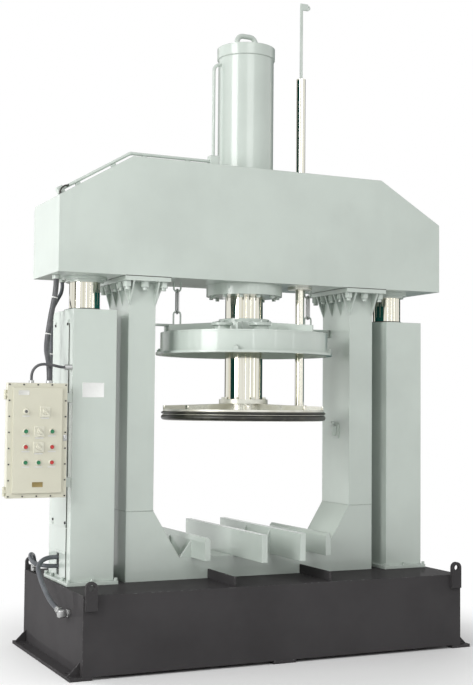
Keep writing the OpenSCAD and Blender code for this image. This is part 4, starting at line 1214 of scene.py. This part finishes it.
@dataclass
class Controls:
    """Push buttons, selectors, lamp and bare plates on the control box's door.

    A strip is its drop below a control and its width; a well, groove or field is its border and its depth.
    """

    face: float = -0.300
    rim: float = -0.288
    buttons: Sequence[tuple[float, float, Finishes, str]] = (
        (-1.647, 1.495, Finishes.GREEN, "button_green"), (-1.477, 1.495, Finishes.GREEN, "button_green"),
        (-1.647, 1.397, Finishes.RED, "button_red"), (-1.477, 1.397, Finishes.RED, "button_red"),
        (-1.647, 1.300, Finishes.GREEN, "button_green"), (-1.563, 1.300, Finishes.GREEN, "button_green"),
        (-1.477, 1.300, Finishes.RED, "button_red"))
    selectors: Sequence[tuple[float, float]] = ((-1.524, 1.620), (-1.559, 1.495), (-1.563, 1.397))
    lamp: tuple[float, float] = (-1.647, 1.620)
    cap_back: float = 0.005
    cap: Profile = (
        (0.0, -0.046), (0.005, -0.046), (0.005, 0.0), (0.012, 0.0), (0.012, 0.0052), (0.0116, 0.0066),
        (0.0106, 0.0076), (0.0092, 0.008), (0.0082, 0.0076), (0.0045, 0.0071), (0.0, 0.0069))
    collar: Profile = (
        (0.0135, 0.0), (0.019, 0.0), (0.019, 0.0035), (0.0183, 0.0046), (0.0166, 0.0052), (0.0166, 0.0078),
        (0.0158, 0.009), (0.0141, 0.009), (0.0135, 0.0083), (0.0135, 0.0))
    lamp_collar: Profile = (
        (0.0095, 0.0), (0.019, 0.0), (0.019, 0.004), (0.0178, 0.0052), (0.0168, 0.0094), (0.0155, 0.0104),
        (0.0112, 0.0104), (0.0095, 0.0092), (0.0095, 0.0))
    lens: Profile = (
        (0.0, 0.001), (0.0094, 0.001), (0.0094, 0.0085), (0.0085, 0.011), (0.006, 0.0125), (0.003, 0.0129),
        (0.0, 0.013))
    plate: float = 0.068
    plate_deep: float = 0.006
    plate_edge: float = 0.0004
    border: float = 0.0022
    border_deep: float = 0.0015
    well: tuple[float, float] = (0.0035, 0.001)
    knob_gap: float = 0.0004
    knob: Profile = (
        (0.0, -0.046), (0.005, -0.046), (0.005, 0.0), (0.017, 0.0), (0.017, 0.0062), (0.0162, 0.0078),
        (0.0148, 0.009), (0.0, 0.009))
    lever: tuple[Point, Point] = ((-0.0045, -0.0225, -0.022), (0.0045, -0.0085, 0.022))
    lever_edge: float = 0.0005
    taper: Point = (0.72, 1.0, 0.93)
    groove: tuple[float, float] = (0.0011, 0.0012)
    turn: float = -40.0
    button_strip: tuple[float, float] = (0.0275, 0.05)
    lamp_strip: tuple[float, float] = (0.029, 0.046)
    selector_strip: tuple[float, float] = (0.0415, 0.054)
    strip_high: float = 0.009
    strip_deep: float = 0.0014
    strip_field: tuple[float, float] = (0.0012, 0.0004)
    badge_deep: float = 0.0015
    badge_edge: float = 0.0002
    badge_field: tuple[float, float] = (0.0018, 0.0005)
    rivet: Profile = ((0.0, 0.0), (0.0022, 0.0), (0.0021, 0.0008), (0.0015, 0.0014), (0.0, 0.0017))
    rivet_back: float = 0.001
    rivet_inset: float = 0.005
    latch_plate: tuple[float, float, float, float] = (-1.4, -1.377, 1.436, 1.474)
    latch_deep: float = 0.004
    latch_edge: float = 0.0012
    latch_bolt: Profile = (
        (0.0, 0.0), (0.0085, 0.0), (0.0085, 0.006), (0.0072, 0.0076), (0.0058, 0.008), (0.0036, 0.0068),
        (0.0, 0.0068))
    latch_middle: tuple[float, float] = (-1.3885, 1.455)
    latch_back: float = 0.0035

    def button(self, index: int) -> None:
        """One push button: a crowned cap on its stem.

        Args:
            index: which of the buttons.
        """
        x, z, finish, slot = self.buttons[index]
        place = (x, self.face - self.cap_back, z)
        cap = Bench.lathe(f"button_cap_{index + 1}", self.cap, place, Axis.FRONT, 28)
        Bench.dress(cap, finish, f"push_{index + 1}", slot, [f"button_{index + 1}"])

    def bezels(self) -> None:
        """Stepped collars round the buttons."""
        ring = Bench.lathe("collar", self.collar, (0.0, self.face, 0.0), Axis.FRONT, 28)
        moves = [Matrix.Translation((x, 0.0, z)) for x, z, _, _ in self.buttons]
        Bench.dress(Bench.spread("button_collars", ring, moves), Finishes.PANEL, "door", "panel_plastic",
                    ["button_bezels"])

    def signal(self) -> None:
        """The signal lamp: a collar and a crowned lens."""
        place = (self.lamp[0], self.face, self.lamp[1])
        collar = Bench.lathe("lamp_collar", self.lamp_collar, place, Axis.FRONT, 32)
        Bench.dress(collar, Finishes.PANEL, "door", "panel_plastic", ["pilot_lamp"])
        lens = Bench.lathe("lamp_lens", self.lens, place, Axis.FRONT, 28)
        Bench.dress(lens, Finishes.LENS, "door", "lamp_lens")

    def sheet(self, name: str, place: tuple[float, float], size: tuple[float, float],
              deep: float) -> bpy.types.Object:
        """A sheet on the door.

        Args:
            name: the piece's name.
            place: X and Z of its middle.
            size: its width and height.
            deep: its thickness.

        Returns:
            The sheet.
        """
        (x, z), (wide, high) = place, size
        return Bench.block(name, (x - wide / 2, self.face - deep, z - high / 2),
                           (x + wide / 2, self.face, z + high / 2))

    def plates(self) -> None:
        """Square plates under the selectors, each with a raised border."""
        made = []
        for i, place in enumerate(self.selectors):
            plate = self.sheet(f"selector_plate_{i}", place, (self.plate, self.plate),
                               self.plate_deep - self.border_deep)
            Bench.sink(plate, (self.border, -self.border_deep), self.well)
            Bench.soften(plate, self.plate_edge)
            made.append(plate)
        Bench.dress(Bench.join("selector_plates_raised", made), Finishes.PANEL, "door", "panel_plastic",
                    ["selector_plates"])

    def selector(self, index: int) -> None:
        """One selector: a stem, a stepped knob and a tapered lever with a groove.

        Args:
            index: which of the selectors.
        """
        x, z = self.selectors[index]
        back = self.face - self.plate_deep - self.knob_gap
        knob = Bench.lathe("knob", self.knob, (x, back, z), Axis.FRONT, 32)
        lever = Bench.block("lever", *self.lever)
        Bench.pick(lever, Bench.front)
        bpy.ops.transform.resize(value=self.taper, center_override=(0.0, self.lever[0][1], 0.0))
        Bench.sink(lever, self.groove)
        Bench.soften(lever, self.lever_edge)
        turn = Matrix.Rotation(math.radians(self.turn), 4, "Y")
        lever.data.transform(Matrix.Translation((x, back, z)) @ turn)
        made = Bench.join(f"selector_knob_{index + 1}", [knob, lever])
        Bench.dress(made, Finishes.PANEL, f"turn_{index + 1}", "panel_plastic", [f"selector_{index + 1}"])

    def strips(self) -> None:
        """Bare strips under the controls."""
        places = [(x, z, *self.button_strip) for x, z, _, _ in self.buttons] + [(*self.lamp, *self.lamp_strip)]
        places += [(x, z, *self.selector_strip) for x, z in self.selectors]
        made = []
        for i, (x, z, drop, wide) in enumerate(places):
            strip = self.sheet(f"strip_{i}", (x, z - drop), (wide, self.strip_high), self.strip_deep)
            Bench.sink(strip, self.strip_field)
            Bench.smooth(strip)
            made.append(strip)
        Bench.dress(Bench.join("control_strips", made), Finishes.LABEL, "door")

    def badge(self, name: str, finish: Finishes, place: tuple[float, float], size: tuple[float, float]) -> None:
        """A bare riveted plate on the door.

        Args:
            name: the piece's name.
            finish: its finish.
            place: X and Z of its middle.
            size: its width and height.
        """
        plate = self.sheet(name + "_sheet", place, size, self.badge_deep)
        Bench.sink(plate, self.badge_field)
        Bench.soften(plate, self.badge_edge)
        rivet = Bench.lathe("rivet", self.rivet, (0.0, self.face - self.rivet_back, 0.0), Axis.FRONT, 14)
        across, up = (side / 2 - self.rivet_inset for side in size)
        corners = [(place[0] + sx * across, place[1] + sz * up) for sx in (-1, 1) for sz in (-1, 1)]
        rivets = Bench.spread("rivets", rivet, [Matrix.Translation((x, 0.0, z)) for x, z in corners])
        Bench.dress(Bench.join(name, [plate, rivets]), finish, "door")

    def latch(self) -> None:
        """The latch at the door's free edge: a plate and a turned bolt."""
        left, right, low, high = self.latch_plate
        front = self.rim - self.latch_deep
        plate = Bench.block("latch_plate", (left, front, low), (right, self.rim, high), self.latch_edge)
        x, z = self.latch_middle
        seat = (x, self.rim - self.latch_back, z)
        bolt = Bench.lathe("latch_bolt", self.latch_bolt, seat, Axis.FRONT, 24)
        Bench.dress(Bench.join("door_latch", [plate, bolt]), Finishes.ZINC, "door")

    def build(self) -> None:
        """Fit the whole front of the box."""
        for index in range(len(self.buttons)):
            self.button(index)
        self.bezels()
        self.signal()
        self.plates()
        for index in range(len(self.selectors)):
            self.selector(index)
        self.strips()
        self.badge("door_plate_low", Finishes.BRASS, (-1.567, 1.162), (0.069, 0.031))
        self.badge("door_plate_high", Finishes.LABEL, (-1.662, 1.738), (0.07, 0.03))
        self.latch()


@dataclass
class PlatenDress:
    """Lip seals round the platen, pads at the ends of its ribs and the bolts of its hub."""

    root: float = 0.5472
    reach: float = 0.580
    lip_depth: float = 0.018
    facets: int = 10
    lower: tuple[float, float] = (1.568, 1.604)
    upper: tuple[float, float] = (1.608, 1.627)
    ribs: int = 8
    first_rib: float = 22.5
    pad: tuple[Point, Point] = ((0.554, -0.013, 1.641), (0.566, 0.013, 1.667))
    pad_edge: float = 0.002
    hub_top: float = 1.714
    bolts: int = 8
    bolt_circle: float = 0.1525
    bolt: tuple[float, float] = (0.026, 0.011)

    def lip(self, name: str, low: float, high: float) -> bpy.types.Object:
        """A moulded ring with a rounded lip.

        Args:
            name: the piece's name.
            low: its lower face.
            high: its upper face.

        Returns:
            The ring.
        """
        profile = [(self.root, low)]
        for i in range(self.facets + 1):
            turn = math.pi * (i / self.facets - 0.5)
            profile.append((self.reach - self.lip_depth * (1.0 - math.cos(turn)),
                            (low + high) / 2 + (high - low) / 2 * math.sin(turn)))
        profile += [(self.root, high), (self.root, low)]
        return Bench.lathe(name, profile, steps=144)

    def build(self) -> None:
        """Fit both seals, the pads at the ribs' ends and the hub's bolts."""
        seals = [self.lip("seal_low", *self.lower), self.lip("seal_high", *self.upper)]
        Bench.dress(Bench.join("lip_seals", seals), Finishes.SEAL, "ram", "seal_rubber", ["platen_seals"])
        pad = Bench.block("pad", *self.pad, self.pad_edge)
        pads = Bench.spread("rib_pads", pad, around(0.0, self.ribs, 0.0, self.first_rib))
        Bench.dress(pads, Finishes.CHROME, "ram", "bare_steel")
        bolts = Bench.spread("hub_bolts", Bench.bolt("hub_bolt", *self.bolt),
                             around(self.bolt_circle, self.bolts, self.hub_top))
        Bench.dress(bolts, Finishes.STEEL, "ram", "bare_steel")


@dataclass
class CoverDress:
    """Bolts on the hub of the drum cover."""

    step: float = 2.252
    bolts: int = 12
    bolt_circle: float = 0.191
    first_bolt: float = 15.0
    bolt: tuple[float, float] = (0.02, 0.009)

    def build(self) -> None:
        """Fit the ring of bolts."""
        bolts = Bench.spread("cover_bolts", Bench.bolt("cover_bolt", *self.bolt),
                             around(self.bolt_circle, self.bolts, self.step, self.first_bolt))
        Bench.dress(bolts, Finishes.FRAME, "cover", "frame_paint")


@dataclass
class WeldSeams:
    """Welds along the seams of the frame, the columns and the cylinder, and dark strips under the beam that
    paint the shadow line at the legs' flanges.

    A post's section is its middle's distance from the axis, its half width and its half depth.
    """

    bead: float = 0.0045
    thin: float = 0.0035
    leg: Point = (0.8415, 0.0945, 0.197)
    leg_foot: float = 0.968
    leg_head: float = 2.484
    column: Point = (1.18, 0.147, 0.238)
    column_foot: float = 0.530
    flange: tuple[Point, Point] = ((0.675, -0.2962, 2.5128), (0.994, 0.2962, 2.5178))
    flange_edge: float = 0.0008
    barrel: Profile = ((0.198, 3.305), (0.1985, 4.136))
    steps: int = 72

    def run(self, name: str, lines: Sequence[Sequence[Point]], bead: float, body: str) -> None:
        """Closed beads along lines, as one piece.

        Args:
            name: the piece's name.
            lines: the points of each bead.
            bead: the bead's radius.
            body: the CAD body that it rides on.
        """
        made = Bench.path(name, lines, bead, 2, True)
        Bench.smooth(made, 50.0)
        Bench.dress(made, Finishes.WELD, body)

    def circle(self, radius: float, height: float) -> list[Point]:
        """Points of a level circle about the machine's axis."""
        turns = [math.tau * i / self.steps for i in range(self.steps)]
        return [(radius * math.cos(a), radius * math.sin(a), height) for a in turns]

    @staticmethod
    def pair(section: Point, height: float) -> list[list[Point]]:
        """Points of level rectangles round the left and the right post of a pair.

        Args:
            section: the posts' section.
            height: the rectangles' height.

        Returns:
            The corners of each rectangle.
        """
        middle, half, deep = section
        return [[(x - half, -deep, height), (x + half, -deep, height), (x + half, deep, height),
                 (x - half, deep, height)] for x in (-middle, middle)]

    def joints(self) -> None:
        """Dark strips between the legs' flanges and the beam: a painted shadow line."""
        (near, front, low), (far, back, high) = self.flange
        # Thin dark strips stand in for the shadow line between flange and beam: painted shadow.
        made = [Bench.block(f"flange_shadow_line_{i}", (left, front, low), (right, back, high), self.flange_edge)
                for i, (left, right) in enumerate(((-far, -near), (near, far)))]
        Bench.dress(Bench.join("flange_shadow_lines", made), Finishes.SEAL, "press_frame")

    def build(self) -> None:
        """Lay every bead and the painted shadow lines."""
        self.run("leg_seams", self.pair(self.leg, self.leg_foot), self.thin, "press_frame")
        self.run("head_seams", self.pair(self.leg, self.leg_head), self.bead, "press_frame")
        self.run("foot_seams", self.pair(self.column, self.column_foot), self.bead, "base")
        self.joints()
        self.run("barrel_seams", [self.circle(*ring) for ring in self.barrel], self.bead, "press_frame")


@dataclass
class RodWipers:
    """Wiper rings where the lift rods and the guide rod leave their bushes."""

    rod: float = 0.1025
    across: float = 1.18
    top: float = 2.297
    lift_ring: tuple[float, float] = (0.009, 0.008)
    guide: Point = (0.404, -0.08, 3.322)
    guide_rod: float = 0.0325
    guide_ring: tuple[float, float] = (0.008, 0.009)
    gap: float = 0.0006

    def ring(self, name: str, bore: float, place: Point, wide: float, high: float) -> bpy.types.Object:
        """A wiper ring with a lip on the rod.

        Args:
            name: the piece's name.
            bore: the rod's radius.
            place: the middle of its seat.
            wide: the ring's width.
            high: its height.

        Returns:
            The ring.
        """
        inner = bore + self.gap
        outer = inner + wide
        profile = [(inner, 0.0), (outer, 0.0), (outer, high * 0.55), (inner + wide * 0.7, high * 0.8),
                   (inner + wide * 0.25, high), (inner, high * 0.92), (inner, 0.0)]
        return Bench.lathe(name, profile, place, steps=64)

    def build(self) -> None:
        """Fit the three wipers."""
        pair = [self.ring(f"wiper_{i}", self.rod, (side * self.across, 0.0, self.top), *self.lift_ring)
                for i, side in enumerate((-1, 1))]
        Bench.dress(Bench.join("lift_wipers", pair), Finishes.SEAL, "base", "seal_rubber")
        guide = self.ring("guide_wiper", self.guide_rod, self.guide, *self.guide_ring)
        Bench.dress(guide, Finishes.SEAL, "press_frame", "seal_rubber")


@dataclass
class HoseEnds:
    """The elbow, block and bulkhead that the hoses screw into, with their nuts and crimped sleeves."""

    elbow: Point = (-1.4241, -0.392, 0.3656)
    block: Point = (-1.3402, 0.5226, 0.533)
    half: float = 0.025
    forged_edge: float = 0.011
    wall: float = -1.373
    bulkhead: tuple[Point, Point] = ((-1.429, -0.029, 1.684), (-1.331, 0.017, 1.73))
    bulkhead_edge: float = 0.004
    ends: Sequence[tuple[Point, Point, float]] = (
        ((-1.436, -0.335, 0.387), (-1.4241, -0.392, 0.3656), 0.02),
        ((-1.355, 0.488, 0.581), (-1.3402, 0.5226, 0.5316), 0.02),
        ((-1.406, -0.006, 1.78), (-1.406, -0.006, 1.705), 0.0165))
    ribs: int = 4
    rib_pitch: float = 0.0055

    def crimp(self, index: int) -> bpy.types.Object:
        """A ribbed sleeve from a hose's end to a hexagon nut at its seat.

        Args:
            index: which of the ends.

        Returns:
            The sleeve with its nut.
        """
        end, seat, radius = self.ends[index]
        end, way = Vector(end), Vector(seat) - Vector(end)
        span = way.length - self.half
        way.normalize()
        waist = radius * 0.88
        profile = [(0.0, 0.0), (radius * 0.86, 0.0)]
        for i in range(self.ribs):
            base = 0.001 + i * self.rib_pitch
            profile += [(waist, base), (radius, base + 0.0012), (radius, base + 0.0034), (waist, base + 0.0046)]
        profile += [(radius * 0.8, 0.025), (radius * 0.8, span + 0.004), (0.0, span + 0.004)]
        sleeve = Bench.lathe(f"sleeve_{index}", profile, end, way, 28)
        wide = radius * 1.3
        head = [(0.0, -0.0135), (radius * 1.18, -0.0135), (wide, -0.0115), (wide, 0.0), (0.0, 0.0)]
        nut = Bench.lathe(f"nut_{index}", head, end + way * (span + 0.0005), way, 6)
        Bench.smooth(nut, 20.0)
        return Bench.join(f"crimp_{index}", [sleeve, nut])

    def forging(self, name: str, middle: Point) -> bpy.types.Object:
        """A forged block with wide rounded edges.

        Args:
            name: the piece's name.
            middle: its middle.

        Returns:
            The block.
        """
        made = Bench.block(name, tuple(c - self.half for c in middle), tuple(c + self.half for c in middle))
        Bench.soften(made, self.forged_edge, 4)
        return made

    def build(self) -> None:
        """Fit all ends of the hoses."""
        reach = self.wall - self.elbow[0]
        shank = [(0.0, 0.012), (0.019, 0.012), (0.019, reach - 0.018), (0.022, reach - 0.016), (0.022, reach),
                 (0.0, reach)]
        stub = Bench.lathe("elbow_stub", shank, self.elbow, Axis.RIGHT, 28)
        head = [(0.0, reach - 0.019), (0.0235, reach - 0.019), (0.0265, reach - 0.017),
                (0.0265, reach - 0.005), (0.0, reach - 0.005)]
        nut = Bench.lathe("elbow_nut", head, self.elbow, Axis.RIGHT, 6)
        Bench.smooth(nut, 20.0)
        plate = Bench.block("bulkhead", *self.bulkhead)
        Bench.soften(plate, self.bulkhead_edge, 3)
        parts = [self.forging("elbow_body", self.elbow), self.forging("base_block", self.block)]
        parts += [stub, nut, plate]
        parts += [self.crimp(i) for i in range(len(self.ends))]
        Bench.dress(Bench.join("hose_ends", parts), Finishes.ZINC, "base", "zinc_steel", ["hose_fittings"])


@dataclass
class PipeTail:
    """Thin hose from the oil pipe's lower end down to the beam's corner."""

    middle: Point = (-1.3915, -0.279, 3.0245)
    bend: float = 0.052
    thick: float = 0.005
    sides: int = 14
    pipe: float = -0.25
    foot: float = 3.012
    banjo: Profile = (
        (0.0, 0.0), (0.0065, 0.0), (0.0075, 0.0015), (0.0075, 0.0165), (0.0065, 0.018), (0.0065, 0.036),
        (0.0, 0.036))
    ferrule: Profile = (
        (0.0, 0.0), (0.0105, 0.0), (0.0105, 0.006), (0.0085, 0.007), (0.0085, 0.021), (0.0065, 0.022),
        (0.0, 0.022))

    def bow(self) -> bpy.types.Object:
        """The hose: a quarter of a ring, closed at both ends.

        Returns:
            The hose.
        """
        x, _, z = self.middle
        turns = [math.tau * i / self.sides for i in range(self.sides + 1)]
        circle = [(self.bend + self.thick * math.cos(a), self.thick * math.sin(a)) for a in turns]
        bow = Bench.lathe("tail_bow", circle, self.middle, Axis.FRONT, 64)
        Bench.pick(bow, lambda face: face.calc_center_median().x > x or face.calc_center_median().z < z)
        bpy.ops.mesh.delete(type="FACE")
        bpy.ops.mesh.select_all(action="SELECT")
        bpy.ops.mesh.fill_holes(sides=0)
        bpy.ops.object.mode_set(mode="OBJECT")
        Bench.smooth(bow)
        return bow

    def build(self) -> None:
        """Fit the bent hose, its banjo on the pipe and its ferrule on the beam."""
        x, y, z = self.middle
        parts = [self.bow(),
                 Bench.lathe("tail_banjo", self.banjo, (x, self.pipe, z + self.bend), Axis.FRONT, 24),
                 Bench.lathe("tail_ferrule", self.ferrule, (x - self.bend, y, self.foot), steps=24)]
        Bench.dress(Bench.join("pipe_tail", parts), Finishes.SEAL, "press_frame", "seal_rubber")


@dataclass
class ColumnPlates:
    """Bare plate, hose strip, joints and screws of the left column; a field is its border and its depth."""

    plate: tuple[Point, Point] = ((-1.261, -0.2395, 1.714), (-1.114, -0.238, 1.809))
    plate_edge: float = 0.0002
    plate_field: tuple[float, float] = (0.003, 0.0005)
    side: float = -1.327
    strip: tuple[Point, Point] = ((-1.332, -0.14, 0.694), (-1.327, 0.075, 0.712))
    strip_edge: float = 0.0012
    edge: float = -0.1535
    bead_deep: float = 0.0045
    bead_half: float = 0.0018
    bead_edge: float = 0.0008
    runs: Sequence[tuple[float, float]] = ((0.87, 2.196), (0.531, 0.866))
    screw: Profile = (
        (0.0, 0.0), (0.0095, 0.0), (0.0095, 0.005), (0.0085, 0.0062), (0.005, 0.0062), (0.0046, 0.003),
        (0.0, 0.003))
    screw_back: float = 0.0038
    corners: Sequence[tuple[float, float]] = ((0.143, 2.193), (-0.13, 2.191), (0.139, 0.903), (-0.132, 0.901))

    def build(self) -> None:
        """Fit the plate, the strip, the joints and the screws."""
        plate = Bench.block("column_plate", *self.plate)
        Bench.sink(plate, self.plate_field)
        Bench.soften(plate, self.plate_edge)
        Bench.dress(plate, Finishes.ENAMEL, "base")
        strip = Bench.block("slot_strip", *self.strip, self.strip_edge)
        Bench.dress(strip, Finishes.FRAME, "base", "frame_paint")
        self.joints()
        self.screws()

    def joints(self) -> None:
        """Dark sealing strips along the front edge of the side covers."""
        made = [Bench.block(f"joint_{i}", (self.side - self.bead_deep, self.edge - self.bead_half, low),
                            (self.side, self.edge + self.bead_half, high), self.bead_edge)
                for i, (low, high) in enumerate(self.runs)]
        Bench.dress(Bench.join("cover_joints", made), Finishes.SEAL, "base", "seal_rubber")

    def screws(self) -> None:
        """Black socket screws at the corners of the side covers."""
        screw = Bench.lathe("screw", self.screw, (self.side - self.screw_back, 0.0, 0.0), Axis.LEFT, 20)
        moves = [Matrix.Translation((0.0, y, z)) for y, z in self.corners]
        Bench.dress(Bench.spread("cover_screws", screw, moves), Finishes.BLACK, "base")


def finish_nodes() -> None:
    """Give every CAD node the finish of its material slot, or its own where it differs."""
    for part in frame["record"]["subparts"]:
        node = frame["nodes"][part["node"]]
        finish = OWN.get(part["node"], SLOTS[part["material_slot"]]).material()
        node.data.materials.clear()
        node.data.materials.append(finish)


def main() -> None:
    """Build the studio, the cords and the sub-assemblies in order."""
    logging.basicConfig(level=logging.INFO, format="%(name)s: %(message)s")
    Studio().build()
    for cord in CORDS:
        cord.build()
    finish_nodes()
    for assembly in (CoverHangers(), Controls(), PlatenDress(), CoverDress(), WeldSeams(), RodWipers(),
                     HoseEnds(), PipeTail(), ColumnPlates()):
        assembly.build()


if __name__ == "__main__":
    main()
